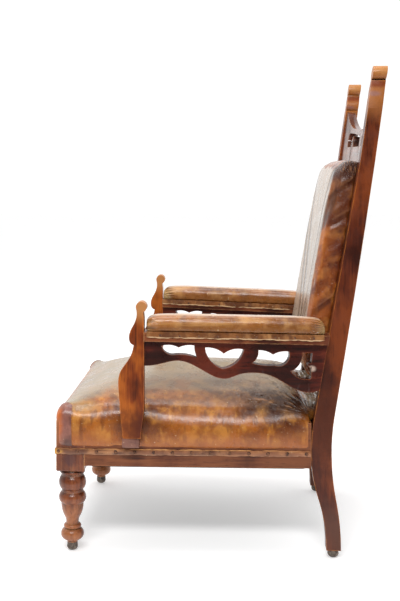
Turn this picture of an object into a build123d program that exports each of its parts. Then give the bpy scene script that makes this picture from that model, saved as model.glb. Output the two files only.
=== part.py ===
from build123d import *
from math import hypot
import os

# An upholstered armchair in the Gothic taste, all lengths in millimetres.
# +X is the sitter's left, -Y is the front of the chair and +Z is up.
# The origin is on the floor under the middle of the whole chair.

os.makedirs("parts", exist_ok=True)

# Fits shared by all pieces
clearance = 0.3            # between a soft or curved piece and its neighbour
glue_gap = 0.1             # round a tenon, a dowel or a nail in its hole
overrun = 30.0             # how far a cut runs past the face that it opens

# Glides
glide_radius = 13.0
glide_height = 20.0
glide_flat_radius = 5.0
glide_nail_radius = 2.5
glide_nail_length = 28.0
glide_dome_share = 0.62

# Front legs
leg_half_spread = 262.0    # from the middle of the chair to the axis of a leg
leg_block_side = 70.0
leg_block_bottom_z = 202.0
leg_turned_radius = 34.0

# Seat frame
rail_bottom_z = 218.0
rail_height = 110.0
rail_thickness = 30.0
seat_frame_depth = 622.0   # from the face of the leg blocks to the face of the posts
tenon_thickness = 12.0
tenon_height = 70.0
tenon_length = 20.0
short_tenon_length = 12.0

# Back posts
post_half_spread = 247.0   # from the middle of the chair to the middle of a post
post_width = 36.0
post_top_z = 1196.0
crest_zone_height = 231.0  # from the knee, where the post's lean eases, to its top
post_bend_z = 300.0        # where the post starts to lean
post_seat_depth = 49.0
post_knee_depth = 35.5
post_top_depth = 34.0
post_foot_depth = 35.0
post_back_bulge = 1.6      # how far the back edge swells between its bend and its knee
back_rake = 117.0          # how far the post leans back from its bend to its knee
crest_rake = 33.0          # and from its knee to its top
foot_sweep = 36.0          # how far the foot is swept behind the seat
bend_length = 40.0         # length of the bend's curve, below and above its middle

# Scroll finial on each post
finial_height = 104.0
finial_knob_radius = 17.0
crest_shoulder_drop = 79.0 # from the top of the post to where the crest rail meets it

# Crest rail and lower back rail
crest_lap = 20.0           # how far the crest reaches below the post's knee
back_rail_thickness = 24.0
back_rail_setback = 5.0    # from the face of the posts to the ends of the rails
back_hollow = 20.0         # how much deeper the rails are at the middle of the back
lower_rail_z = 412.0
lower_rail_height = 46.0
back_tenon_length = 14.0
back_tenon_margin = 6.0
crest_tenon_share = 0.75   # how much of the crest's height is tenoned

# Leather, webbing and cloth
leather_thickness = 2.5
webbing_thickness = 2.0
webbing_width = 50.0
hessian_thickness = 1.2

# Leather banding and its nails
banding_z = 246.0
banding_width = 15.0
banding_thickness = 3.0
front_nail_margin = 11.0   # from the corner of the leg block to the first nail in front
side_nail_margin = 30.0    # from the back of a leg's block to the first nail after it
back_nail_margin = 12.0    # and from the last nail to the post
side_nail_count = 12
front_nail_count = 13
nail_head_radius = 4.5
nail_head_height = 2.5
nail_shank_radius = 1.2
nail_grip = 7.0            # how deep a nail's shank is in the wood

# Seat cushion
cushion_side_height = 74.0
cushion_crown_z = 427.0
cushion_corner_radius = 10.0
spring_hessian_z = 346.0
edge_roll_width = 46.0
facing_width = 46.0
facing_thickness = 2.0

# Arm supports
support_back_offset = 219.0   # from the face of the leg blocks to the support's back edge
support_thickness = 30.0
support_foot_z = 295.0
support_height = 330.5
support_depth = 62.0
support_knob_radius = 13.0
arm_block_height = 23.0

# Arm rests, panels and pads
arm_set_in = 5.8              # from the middle of the support to the middle of the arm
arm_back_set_in = 3.0         # from the outside of the post to the middle of the arm
arm_rest_z = 531.0            # underside of the arm rest at the support
arm_drop = 9.0                # how much lower it is at the post
arm_rest_width = 54.0
arm_rest_thickness = 22.0
arm_pad_width = 60.0
arm_pad_height = 41.0
arm_panel_thickness = 24.0
arm_panel_depth = 118.0
pad_nail_pitch = 46.0
pad_nail_count = 9
pad_nail_head_radius = 2.8
pad_nail_head_height = 1.4
pad_nail_shank_radius = 0.8
pad_nail_grip = 6.0
pad_hem_height = 12.0

# Back pad
back_pad_bottom_z = 428.0
back_pad_side = 56.0
back_pad_crown = 64.0
back_pad_corner_radius = 9.0

# Corner blocks, screws, dowels and springs
block_reach = 62.0
block_height = 60.0
block_screw_seat = 22.0
screw_head_radius = 4.2
screw_head_height = 2.6
screw_shank_radius = 2.2
screw_grip = 18.0
dowel_radius = 5.0
dowel_reach = 16.0
spring_radius = 40.0
spring_waist_radius = 24.0
spring_pitch_x = 135.0
spring_pitch_y = 150.0
cover_nail_pitch = 64.0
cover_nail_columns = 7

# Places that follow from the sizes above
post_knee_z = post_top_z - crest_zone_height
crest_shoulder_z = post_top_z - crest_shoulder_drop
overall_depth = (banding_thickness + nail_head_height + seat_frame_depth
                 + back_rake + crest_rake + post_top_depth)
leg_front_y = -overall_depth / 2 + banding_thickness + nail_head_height
leg_back_y = leg_front_y + leg_block_side
leg_axis_y = leg_front_y + leg_block_side / 2
leg_inner_x = leg_half_spread - leg_block_side / 2
leg_outer_x = leg_half_spread + leg_block_side / 2
post_face_y = leg_front_y + seat_frame_depth
post_inner_x = post_half_spread - post_width / 2
post_outer_x = post_half_spread + post_width / 2
post_foot_y = post_face_y + foot_sweep + post_foot_depth / 2
rail_top_z = rail_bottom_z + rail_height
rail_middle_z = rail_bottom_z + rail_height / 2
front_rail_back_y = leg_front_y + rail_thickness
back_rail_face_y = post_face_y + (post_seat_depth - rail_thickness) / 2
back_rail_back_y = back_rail_face_y + rail_thickness
banding_top_z = banding_z + banding_width
cushion_bottom_z = banding_top_z + clearance
support_back_y = leg_front_y + support_back_offset
support_front_y = support_back_y - support_depth


def rail_x(y):
    """Outer face of the left seat rail at the depth y."""
    along = (y - leg_back_y) / (post_face_y - leg_back_y)
    return leg_outer_x + (post_outer_x - leg_outer_x) * along


def post_front_y(z):
    """Front face of a post at the height z, above its bend."""
    if z <= post_knee_z:
        return post_face_y + back_rake * (z - post_bend_z) / (post_knee_z - post_bend_z)
    rise = (z - post_knee_z) / (post_top_z - post_knee_z)
    return post_face_y + back_rake + crest_rake * rise


def post_depth(z):
    """Size of a post from front to back at the height z, above its bend."""
    if z <= post_knee_z:
        rise = (z - post_bend_z) / (post_knee_z - post_bend_z)
        return post_seat_depth + (post_knee_depth - post_seat_depth) * rise
    rise = (z - post_knee_z) / (post_top_z - post_knee_z)
    return post_knee_depth + (post_top_depth - post_knee_depth) * rise


def twin(piece, name):
    """The same piece for the other side of the chair."""
    with BuildPart() as other:
        add(mirror(piece.part, about=Plane.YZ, mode=Mode.PRIVATE))
    other.part.label = name
    return other


def mirrored(plane):
    """The same plane on the other side of the chair."""
    at, out, right = plane.origin, plane.z_dir, plane.x_dir
    return Plane(origin=(-at.X, at.Y, at.Z), x_dir=(right.X, -right.Y, -right.Z),
                 z_dir=(-out.X, out.Y, out.Z))


def both_sides(planes):
    """Planes for the left of the chair, and their likenesses for the right."""
    return planes + [mirrored(plane) for plane in planes]


def trace(start, runs, place):
    """Draw a closed outline: each run is a line, or an arc through a point."""
    last = start
    for through, end in runs:
        if through is None:
            Line(place(last), place(end))
        else:
            ThreePointArc(place(last), place(through), place(end))
        last = end


def bore(planes, radius, depth, rise=0.0):
    """Drill a round hole down from each plane, and up by rise."""
    for plane in planes:
        with BuildSketch(plane.offset(rise)) as hole:
            Circle(radius)
        extrude(hole.sketch, amount=-depth - rise, mode=Mode.SUBTRACT)


def headed_pins(planes, head_radius, head_height, shank_radius, shank_length, domed=False):
    """Nails or screws: the plane is the underside of each head."""
    for plane in planes:
        with BuildSketch(plane) as head:
            Circle(head_radius)
        extrude(head.sketch, amount=head_height, taper=nail_dome_taper if domed else 0)
        with BuildSketch(plane) as shank:
            Circle(shank_radius)
        extrude(shank.sketch, amount=-shank_length)


nail_dome_taper = 35.0


# Glides: an iron dome on a nail, driven up into each foot
foot_places = [
    (leg_half_spread, leg_axis_y),
    (-leg_half_spread, leg_axis_y),
    (post_half_spread, post_foot_y),
    (-post_half_spread, post_foot_y),
]
glide_names = ["front_left_glide", "front_right_glide", "back_left_glide", "back_right_glide"]
glides = []
for (foot_x, foot_y), glide_name in zip(foot_places, glide_names):
    with BuildPart() as glide:
        with BuildSketch(Plane(origin=(foot_x, foot_y, 0), x_dir=(1, 0, 0), z_dir=(0, -1, 0))):
            with BuildLine():
                dome_z = glide_height * glide_dome_share
                shoulder = glide_flat_radius + (glide_radius - glide_flat_radius) * glide_dome_share
                Line((0, 0), (glide_flat_radius, 0))
                ThreePointArc(
                    (glide_flat_radius, 0),
                    (shoulder + glide_flat_radius / 4, dome_z / 4),
                    (glide_radius, dome_z),
                )
                Polyline(
                    (glide_radius, dome_z),
                    (glide_radius, glide_height),
                    (glide_nail_radius, glide_height),
                    (glide_nail_radius, glide_height + glide_nail_length),
                    (0, glide_height + glide_nail_length),
                    (0, 0),
                )
            make_face()
        revolve(axis=Axis((foot_x, foot_y, 0), (0, 0, 1)))
    glide.part.label = glide_name
    glides.append(glide)


# Front legs: turned below, square where the seat rails are tenoned in
leg_turning_start_share = (0.0, 0.0)
leg_turning_shares = (
    (None, (0.38, 0.0)),
    (None, (0.38, 0.033)),
    (None, (0.53, 0.033)),
    ((0.84, 0.104), (0.65, 0.181)),
    (None, (0.56, 0.19)),
    ((0.64, 0.217), (0.56, 0.245)),
    (None, (0.46, 0.252)),
    (None, (0.46, 0.286)),
    ((0.515, 0.33), (0.62, 0.368)),
    ((0.75, 0.434), (0.82, 0.522)),
    (None, (0.82, 0.538)),
    ((1.0, 0.61), (0.81, 0.687)),
    (None, (0.79, 0.692)),
    (None, (0.79, 0.722)),
    (None, (0.82, 0.728)),
    ((1.0, 0.813), (0.81, 0.912)),
    (None, (0.82, 0.94)),
    ((0.93, 0.964), (0.85, 0.989)),
    (None, (0.85, 1.0)),
    (None, (0.0, 1.0)),
    (None, (0.0, 0.0)),
)
turned_height = leg_block_bottom_z - glide_height
block_edge_radius = leg_block_side / 14


def turned_place(share):
    return (share[0] * leg_turned_radius, glide_height + share[1] * turned_height)


def rail_strip(start_y, end_y, outer, inner):
    """Plan of a strip along the left seat rail, between two insets from its face."""
    Polygon(
        (rail_x(start_y) - outer, start_y),
        (rail_x(end_y) - outer, end_y),
        (rail_x(end_y) - inner, end_y),
        (rail_x(start_y) - inner, start_y),
        align=None,
    )


side_tenon_outer = (rail_thickness - tenon_thickness) / 2
side_tenon_inner = side_tenon_outer + tenon_thickness
tenon_bottom_z = rail_middle_z - tenon_height / 2

# Screws of the corner blocks and arm supports: the plane of each head's underside
front_block_screws = [
    Plane(
        origin=(leg_inner_x - block_reach / 2, front_rail_back_y + block_screw_seat, rail_middle_z),
        x_dir=(1, 0, 0),
        z_dir=(0, 1, 0),
    ),
    Plane(
        origin=(
            rail_x(leg_back_y + block_reach / 3) - rail_thickness - block_screw_seat,
            leg_back_y + block_reach / 3,
            rail_middle_z,
        ),
        x_dir=(0, 1, 0),
        z_dir=(-1, 0, 0),
    ),
]
back_block_screws = [
    Plane(
        origin=(post_inner_x - block_reach / 3, back_rail_face_y - block_screw_seat, rail_middle_z),
        x_dir=(1, 0, 0),
        z_dir=(0, -1, 0),
    ),
    Plane(
        origin=(
            rail_x(post_face_y - block_reach / 2) - rail_thickness - block_screw_seat,
            post_face_y - block_reach / 2,
            rail_middle_z,
        ),
        x_dir=(0, 1, 0),
        z_dir=(-1, 0, 0),
    ),
]
support_inner_x = rail_x(support_front_y) + leather_thickness + clearance
support_outer_x = support_inner_x + support_thickness
arm_half_spread = support_inner_x + support_thickness / 2 - arm_set_in
arm_back_half_spread = post_outer_x - arm_back_set_in
support_foot_y = support_back_y - support_depth / 2
support_screw_x = rail_x(support_foot_y) - rail_thickness - clearance
support_screw_z = [
    support_foot_z + (rail_top_z - support_foot_z) / 2,
    support_foot_z - arm_block_height / 2,
]
support_screws = [
    Plane(origin=(support_screw_x, support_foot_y, z), x_dir=(0, 1, 0), z_dir=(-1, 0, 0))
    for z in support_screw_z
]
support_screw_length = support_inner_x - support_screw_x + screw_grip

# Nails of the banding: the plane of each nail is where its head meets the leather
side_nail_pitch = (post_face_y - back_nail_margin - leg_back_y - side_nail_margin) / (
    side_nail_count - 1
)
front_nail_pitch = 2 * (leg_outer_x - front_nail_margin) / (front_nail_count - 1)
leg_nail_shares = (0.09, 0.76)
rail_run = hypot(leg_outer_x - post_outer_x, post_face_y - leg_back_y)
rail_run_x = (post_outer_x - leg_outer_x) / rail_run
rail_run_y = (post_face_y - leg_back_y) / rail_run
banding_middle_z = banding_z + banding_width / 2
side_nails = []
for count in range(side_nail_count):
    nail_y = leg_back_y + side_nail_margin + count * side_nail_pitch
    side_nails.append(Plane(
        origin=(
            rail_x(nail_y) + banding_thickness * rail_run_y,
            nail_y - banding_thickness * rail_run_x,
            banding_middle_z,
        ),
        x_dir=(rail_run_x, rail_run_y, 0),
        z_dir=(rail_run_y, -rail_run_x, 0),
    ))
front_nails = [
    Plane(
        origin=((count - (front_nail_count - 1) / 2) * front_nail_pitch,
                leg_front_y - banding_thickness, banding_middle_z),
        x_dir=(1, 0, 0),
        z_dir=(0, -1, 0),
    )
    for count in range(front_nail_count)
]
leg_nails = [
    Plane(
        origin=(leg_outer_x + banding_thickness, leg_front_y + share * leg_block_side,
                banding_middle_z),
        x_dir=(0, 1, 0),
        z_dir=(1, 0, 0),
    )
    for share in leg_nail_shares
]
nail_length = banding_thickness + nail_grip

with BuildPart() as left_front_leg:
    with BuildSketch(Plane.XY.offset(leg_block_bottom_z)):
        with Locations((leg_half_spread, leg_axis_y)):
            Rectangle(leg_block_side, leg_block_side)
    extrude(amount=rail_top_z - leg_block_bottom_z)
    fillet(faces().sort_by(Axis.Z)[0].edges(), block_edge_radius)
    leg_plane = Plane(origin=(leg_half_spread, leg_axis_y, 0), x_dir=(1, 0, 0), z_dir=(0, -1, 0))
    with BuildSketch(leg_plane):
        with BuildLine():
            trace(leg_turning_start_share, leg_turning_shares, turned_place)
        make_face()
    revolve(axis=Axis((leg_half_spread, leg_axis_y, 0), (0, 0, 1)))
    # Mortises for the side rail and the front rail
    with BuildSketch(Plane.XY.offset(tenon_bottom_z - glue_gap)):
        rail_strip(leg_back_y - tenon_length - glue_gap, leg_back_y,
                   side_tenon_outer - glue_gap, side_tenon_inner + glue_gap)
        with Locations((leg_inner_x + tenon_length / 2, leg_front_y + rail_thickness / 2)):
            Rectangle(tenon_length + 2 * glue_gap, tenon_thickness + 2 * glue_gap)
    extrude(amount=tenon_height + 2 * glue_gap, mode=Mode.SUBTRACT)
    bore(leg_nails + front_nails, nail_shank_radius + glue_gap, nail_length + glue_gap)
    bore([Plane(origin=(leg_half_spread, leg_axis_y, glide_height), z_dir=(0, 0, -1))],
         glide_nail_radius + glue_gap, glide_nail_length + glue_gap)
left_front_leg.part.label = "left_front_leg"
right_front_leg = twin(left_front_leg, "right_front_leg")


# Seat rails: the side rails run in from the legs to the posts, each with a tenon at both ends
with BuildPart() as left_seat_rail:
    with BuildSketch(Plane.XY.offset(rail_bottom_z)):
        rail_strip(leg_back_y, post_face_y, 0, rail_thickness)
    extrude(amount=rail_height)
    with BuildSketch(Plane.XY.offset(tenon_bottom_z)):
        rail_strip(leg_back_y - tenon_length, post_face_y + tenon_length,
                   side_tenon_outer, side_tenon_inner)
    extrude(amount=tenon_height)
    bore(side_nails, nail_shank_radius + glue_gap, nail_length + glue_gap)
    bore([front_block_screws[1], back_block_screws[1]],
         screw_shank_radius + glue_gap, block_screw_seat + screw_grip + glue_gap)
    bore(support_screws, screw_shank_radius + glue_gap, rail_thickness + overrun)
left_seat_rail.part.label = "left_seat_rail"
right_seat_rail = twin(left_seat_rail, "right_seat_rail")

with BuildPart() as front_seat_rail:
    with BuildSketch(Plane.XY.offset(rail_bottom_z)):
        with Locations((0, leg_front_y + rail_thickness / 2)):
            Rectangle(2 * leg_inner_x, rail_thickness)
    extrude(amount=rail_height)
    with BuildSketch(Plane.XY.offset(tenon_bottom_z)):
        with Locations((0, leg_front_y + rail_thickness / 2)):
            Rectangle(2 * (leg_inner_x + tenon_length), tenon_thickness)
    extrude(amount=tenon_height)
    bore(front_nails, nail_shank_radius + glue_gap, nail_length + glue_gap)
    bore(both_sides(front_block_screws[:1]),
         screw_shank_radius + glue_gap, block_screw_seat + screw_grip + glue_gap)
front_seat_rail.part.label = "front_seat_rail"

with BuildPart() as back_seat_rail:
    with BuildSketch(Plane.XY.offset(rail_bottom_z)):
        with Locations((0, back_rail_face_y + rail_thickness / 2)):
            Rectangle(2 * post_inner_x, rail_thickness)
    extrude(amount=rail_height)
    with BuildSketch(Plane.XY.offset(tenon_bottom_z)):
        with Locations((0, back_rail_face_y + rail_thickness / 2)):
            Rectangle(2 * (post_inner_x + short_tenon_length), tenon_thickness)
    extrude(amount=tenon_height)
    bore(both_sides(back_block_screws[:1]),
         screw_shank_radius + glue_gap, block_screw_seat + screw_grip + glue_gap)
back_seat_rail.part.label = "back_seat_rail"


# Corner blocks: glued and screwed inside the four corners of the seat frame
block_bottom_z = rail_middle_z - block_height / 2
front_brace_y = leg_back_y + block_reach
back_brace_y = post_face_y - block_reach
head_hole_radius = screw_head_radius + glue_gap

with BuildPart() as front_left_corner_block:
    with BuildSketch(Plane.XY.offset(block_bottom_z)):
        Polygon(
            (leg_inner_x - block_reach, front_rail_back_y),
            (leg_inner_x, front_rail_back_y),
            (leg_inner_x, leg_back_y),
            (rail_x(leg_back_y) - rail_thickness, leg_back_y),
            (rail_x(front_brace_y) - rail_thickness, front_brace_y),
            align=None,
        )
    extrude(amount=block_height)
    bore(front_block_screws, screw_shank_radius + glue_gap, block_screw_seat + overrun)
    bore([plane.offset(overrun) for plane in front_block_screws], head_hole_radius, overrun)
front_left_corner_block.part.label = "front_left_corner_block"
front_right_corner_block = twin(front_left_corner_block, "front_right_corner_block")

with BuildPart() as back_left_corner_block:
    with BuildSketch(Plane.XY.offset(block_bottom_z)):
        Polygon(
            (rail_x(back_brace_y) - rail_thickness, back_brace_y),
            (rail_x(post_face_y) - rail_thickness, post_face_y),
            (post_inner_x, post_face_y),
            (post_inner_x, back_rail_face_y),
            (post_inner_x - block_reach, back_rail_face_y),
            align=None,
        )
    extrude(amount=block_height)
    bore(back_block_screws, screw_shank_radius + glue_gap, block_screw_seat + overrun)
    bore([plane.offset(overrun) for plane in back_block_screws], head_hole_radius, overrun)
back_left_corner_block.part.label = "back_left_corner_block"
back_right_corner_block = twin(back_left_corner_block, "back_right_corner_block")

with BuildPart() as corner_block_screws:
    headed_pins(both_sides(front_block_screws + back_block_screws), screw_head_radius,
                screw_head_height, screw_shank_radius, block_screw_seat + screw_grip)
corner_block_screws.part.label = "corner_block_screws"


# Back posts: sawn to shape from the side, then the finial is cut from the front
finial_base_z = post_top_z - finial_height
knob_share = (0.53, 0.8365)
inner_neck_share = (0.32, 0.70)
outer_neck_share = (0.78, 0.66)
finial_inner_shares = ((0.0, 0.24), (0.12, 0.265), (0.02, 0.42), (0.22, 0.60), (0.32, 0.70))
finial_outer_shares = ((0.78, 0.66), (0.80, 0.55), (0.88, 0.34), (1.0, 0.0))
foot_curve_share = 0.5     # how far the swept curve's handles reach

crest_plane = Plane(
    origin=(0, post_front_y(post_knee_z), post_knee_z),
    x_dir=(1, 0, 0),
    z_dir=(0, crest_rake, post_top_z - post_knee_z),
)
back_plane = Plane(
    origin=(0, post_front_y(lower_rail_z), lower_rail_z),
    x_dir=(1, 0, 0),
    z_dir=(0, back_rake, post_knee_z - post_bend_z),
)
post_face_plane = Plane(
    origin=(0, post_face_y, post_bend_z),
    x_dir=(1, 0, 0),
    z_dir=(0, -(post_knee_z - post_bend_z), back_rake),
)
knee_lean = hypot(back_rake, post_knee_z - post_bend_z) / (post_knee_z - post_bend_z)
back_tenon_start = back_rail_setback + back_tenon_margin
back_tenon_depth = back_rail_thickness - 2 * back_tenon_margin
crest_height = (crest_shoulder_z - post_knee_z) + crest_lap


def finial_place(share):
    """Inner edge of the left post is share 0, and its outer edge is share 1."""
    return (post_inner_x + share[0] * post_width, finial_base_z + share[1] * finial_height)


def back_tenon_sketch(gap):
    """Both tenons of a back rail, in plan on its leaning plane."""
    reach = 2 * (post_inner_x + back_tenon_length + gap)
    with Locations((0, back_tenon_start + back_tenon_depth / 2)):
        Rectangle(reach, back_tenon_depth + 2 * gap)


arm_dowel_z = arm_rest_z + arm_rest_thickness / 2
arm_back_z = arm_rest_z - arm_drop
arm_run = post_front_y(arm_back_z) - support_back_y
arm_length = hypot(arm_run, arm_half_spread - arm_back_half_spread)
arm_along = (
    (arm_back_half_spread - arm_half_spread) / arm_length,
    arm_run / arm_length,
    -arm_drop / arm_length,
)
arm_across = (arm_run / arm_length, (arm_half_spread - arm_back_half_spread) / arm_length, 0)


def arm_point(along, across, height):
    """A point by its place along and across the left arm, above the rest's underside."""
    return (
        arm_half_spread + along * arm_along[0] + across * arm_across[0],
        support_back_y + along * arm_along[1] + across * arm_across[1],
        arm_rest_z + along * arm_along[2] + height,
    )


def arm_section(along, height):
    """A plane square to the arm, facing forwards, with its own up direction up."""
    return Plane(
        origin=arm_point(along, 0, height),
        x_dir=arm_across,
        z_dir=(-arm_along[0], -arm_along[1], -arm_along[2]),
    )


rest_middle = arm_rest_thickness / 2
post_dowel_along = post_front_y(arm_back_z + rest_middle) - support_back_y
front_dowel = arm_section(-dowel_reach, rest_middle)
back_dowel_across = post_half_spread - arm_back_half_spread + arm_rest_width / 6
back_dowel = Plane(
    origin=(
        arm_point(post_dowel_along + dowel_reach, back_dowel_across, rest_middle)
    ),
    x_dir=arm_across,
    z_dir=(arm_along[0], arm_along[1], arm_along[2]),
)

with BuildPart() as left_back_post:
    with BuildSketch(Plane.YZ.offset(post_inner_x)):
        with BuildLine():
            foot_front = post_face_y + foot_sweep
            foot_back = foot_front + post_foot_depth
            seat_back = post_face_y + post_seat_depth
            straight_z = post_bend_z + bend_length
            seat_z = post_bend_z - bend_length
            handle = (seat_z - glide_height) * foot_curve_share
            foot_handle_z = glide_height + handle
            seat_handle_z = seat_z - handle
            straight_back = post_front_y(straight_z) + post_depth(straight_z)
            Line((foot_front, glide_height), (foot_back, glide_height))
            Bezier((foot_back, glide_height), (foot_back, foot_handle_z),
                   (seat_back, seat_handle_z), (seat_back, seat_z))
            Bezier((seat_back, seat_z), (seat_back, post_bend_z), (straight_back, straight_z))
            knee_back = post_front_y(post_knee_z) + post_knee_depth
            middle_back = (straight_back + knee_back) / 2 + post_back_bulge
            ThreePointArc((straight_back, straight_z),
                          (middle_back, (straight_z + post_knee_z) / 2), (knee_back, post_knee_z))
            Polyline(
                (knee_back, post_knee_z),
                (post_front_y(post_top_z) + post_top_depth, post_top_z),
                (post_front_y(post_top_z), post_top_z),
                (post_front_y(post_knee_z), post_knee_z),
                (post_front_y(straight_z), straight_z),
            )
            Bezier((post_front_y(straight_z), straight_z), (post_face_y, post_bend_z),
                   (post_face_y, seat_z))
            Bezier((post_face_y, seat_z), (post_face_y, seat_handle_z),
                   (foot_front, foot_handle_z), (foot_front, glide_height))
        make_face()
    extrude(amount=post_width)
    # The front outline: full width up to the finial, then the scroll
    with BuildSketch(Plane.XZ.offset(-post_face_y - overall_depth)) as front_outline:
        with BuildLine():
            Line((post_inner_x, 0), finial_place(finial_inner_shares[0]))
            Line(finial_place(finial_inner_shares[0]), finial_place(finial_inner_shares[1]))
            Spline([finial_place(share) for share in finial_inner_shares[1:]])
            Line(finial_place(finial_inner_shares[-1]), finial_place(finial_outer_shares[0]))
            Spline([finial_place(share) for share in finial_outer_shares])
            Polyline(finial_place(finial_outer_shares[-1]), (post_outer_x, 0), (post_inner_x, 0))
        make_face()
        with Locations(finial_place(knob_share)):
            Circle(finial_knob_radius)
    extrude(amount=2 * overall_depth, mode=Mode.INTERSECT)
    # Mortises for the side rail, the back rails and the crest rail
    with BuildSketch(Plane.XY.offset(tenon_bottom_z - glue_gap)):
        rail_strip(post_face_y, post_face_y + tenon_length + glue_gap,
                   side_tenon_outer - glue_gap, side_tenon_inner + glue_gap)
        with Locations((post_inner_x + short_tenon_length / 2,
                        back_rail_face_y + rail_thickness / 2)):
            Rectangle(short_tenon_length + 2 * glue_gap, tenon_thickness + 2 * glue_gap)
    extrude(amount=tenon_height + 2 * glue_gap, mode=Mode.SUBTRACT)
    with BuildSketch(back_plane.offset(back_tenon_margin - glue_gap)):
        back_tenon_sketch(glue_gap)
    extrude(amount=lower_rail_height - 2 * back_tenon_margin + 2 * glue_gap, mode=Mode.SUBTRACT)
    with BuildSketch(crest_plane.offset(back_tenon_margin - crest_lap - glue_gap)):
        back_tenon_sketch(glue_gap)
    extrude(amount=crest_height * crest_tenon_share + 2 * glue_gap, mode=Mode.SUBTRACT)
    bore([back_dowel], dowel_radius + glue_gap, dowel_reach * 2, glue_gap)
    bore([Plane(origin=(post_half_spread, post_foot_y, glide_height), z_dir=(0, 0, -1))],
         glide_nail_radius + glue_gap, glide_nail_length + glue_gap)
left_back_post.part.label = "left_back_post"
right_back_post = twin(left_back_post, "right_back_post")


# The outside back cover and its nails: a nail stands square to the hollow cover
back_span = (post_knee_z - lower_rail_z) * knee_lean
crest_step = crest_lap * (
    back_rake / (post_knee_z - post_bend_z) - crest_rake / (post_top_z - post_knee_z)
)
back_rail_back = back_rail_setback + back_rail_thickness
cover_face = back_rail_back + crest_step + glue_gap
cover_back = cover_face + leather_thickness
cover_length = back_span + crest_lap - lower_rail_height / 4
cover_half_width = post_inner_x - clearance
cover_nail_length = leather_thickness + crest_step + 2 * glue_gap + nail_grip


def cover_nail(x, up):
    """The plane of a nail's head, at a place across and up the back."""
    bow = 1 - (x / post_inner_x) ** 2
    slope = 2 * back_hollow * x / post_inner_x ** 2
    depth = cover_back + glue_gap + back_hollow * bow
    at = back_plane.offset(up).from_local_coords((x, depth, 0))
    out = back_plane.y_dir
    return Plane(origin=at, x_dir=(1, -slope * out.Y, -slope * out.Z),
                 z_dir=(slope, out.Y, out.Z))


cover_nail_places = [
    (count - (cover_nail_columns - 1) / 2) * cover_nail_pitch
    for count in range(cover_nail_columns)
]
crest_nails = [cover_nail(x, back_span) for x in cover_nail_places]
lower_rail_nails = [cover_nail(x, lower_rail_height / 2) for x in cover_nail_places]


# Crest rail: hollow in plan, scooped along its top and pierced in each half
crest_top_shares = (
    ((0.0, 0.655), (0.56, 0.70)),
    ((0.85, 0.836), (1.0, 1.0)),
)
crest_opening_shares = (
    (None, (0.485, 0.39)),
    (None, (0.55, 0.573)),
    (None, (0.615, 0.39)),
    (None, (0.773, 0.39)),
    (None, (0.773, 0.50)),
    ((0.755, 0.60), (0.70, 0.625)),
    ((0.40, 0.60), (0.08, 0.547)),
    (None, (0.08, 0.39)),
)
crest_opening_start_share = (0.08, 0.39)
crest_face_plane = Plane(
    origin=crest_plane.offset(-crest_lap).origin,
    x_dir=(1, 0, 0),
    z_dir=(0, -(post_top_z - post_knee_z), crest_rake),
)


def crest_place(share):
    return (share[0] * post_inner_x, share[1] * crest_height)


def crest_place_right(share):
    return (-share[0] * post_inner_x, share[1] * crest_height)


def hollow_strip(front, back, half_width):
    """Plan of a piece that follows the hollow of the back, between two depths."""
    with BuildLine() as outline:
        ThreePointArc((-half_width, front), (0, front + back_hollow), (half_width, front))
        Line((half_width, front), (half_width, back))
        ThreePointArc((half_width, back), (0, back + back_hollow), (-half_width, back))
        Line((-half_width, back), (-half_width, front))
    make_face(outline.edges())


with BuildPart() as crest_rail:
    with BuildSketch(crest_plane.offset(-crest_lap)):
        hollow_strip(back_rail_setback, back_rail_back, post_inner_x)
    extrude(amount=crest_height)
    with BuildSketch(crest_face_plane.offset(overrun)):
        with BuildLine():
            (dip, shoulder), (scoop, tip) = crest_top_shares
            middle_left = (-shoulder[0], shoulder[1])
            ThreePointArc(crest_place(middle_left), crest_place(dip), crest_place(shoulder))
            ThreePointArc(crest_place(shoulder), crest_place(scoop), crest_place(tip))
            Polyline(crest_place(tip), crest_place((1, 0)), crest_place((-1, 0)),
                     crest_place((-1, 1)))
            ThreePointArc(crest_place((-1, 1)), crest_place_right(scoop),
                          crest_place(middle_left))
        make_face()
    extrude(amount=-2 * overrun - back_rail_back - back_hollow, mode=Mode.INTERSECT)
    for place in (crest_place, crest_place_right):
        with BuildSketch(crest_face_plane.offset(overrun)):
            with BuildLine():
                trace(crest_opening_start_share, crest_opening_shares, place)
            make_face()
        extrude(amount=-2 * overrun - back_rail_back - back_hollow, mode=Mode.SUBTRACT)
    with BuildSketch(crest_plane.offset(back_tenon_margin - crest_lap)):
        with Locations((post_inner_x + back_tenon_length / 2,
                        back_tenon_start + back_tenon_depth / 2),
                       (-post_inner_x - back_tenon_length / 2,
                        back_tenon_start + back_tenon_depth / 2)):
            Rectangle(back_tenon_length, back_tenon_depth)
    extrude(amount=crest_height * crest_tenon_share)
    bore(crest_nails, nail_shank_radius + glue_gap, cover_nail_length + glue_gap)
crest_rail.part.label = "crest_rail"

with BuildPart() as lower_back_rail:
    with BuildSketch(back_plane):
        hollow_strip(back_rail_setback, back_rail_back, post_inner_x)
    extrude(amount=lower_rail_height)
    with BuildSketch(back_plane.offset(back_tenon_margin)):
        with Locations((post_inner_x + back_tenon_length / 2,
                        back_tenon_start + back_tenon_depth / 2),
                       (-post_inner_x - back_tenon_length / 2,
                        back_tenon_start + back_tenon_depth / 2)):
            Rectangle(back_tenon_length, back_tenon_depth)
    extrude(amount=lower_rail_height - 2 * back_tenon_margin)
    bore(lower_rail_nails, nail_shank_radius + glue_gap, cover_nail_length + glue_gap)
lower_back_rail.part.label = "lower_back_rail"


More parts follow.
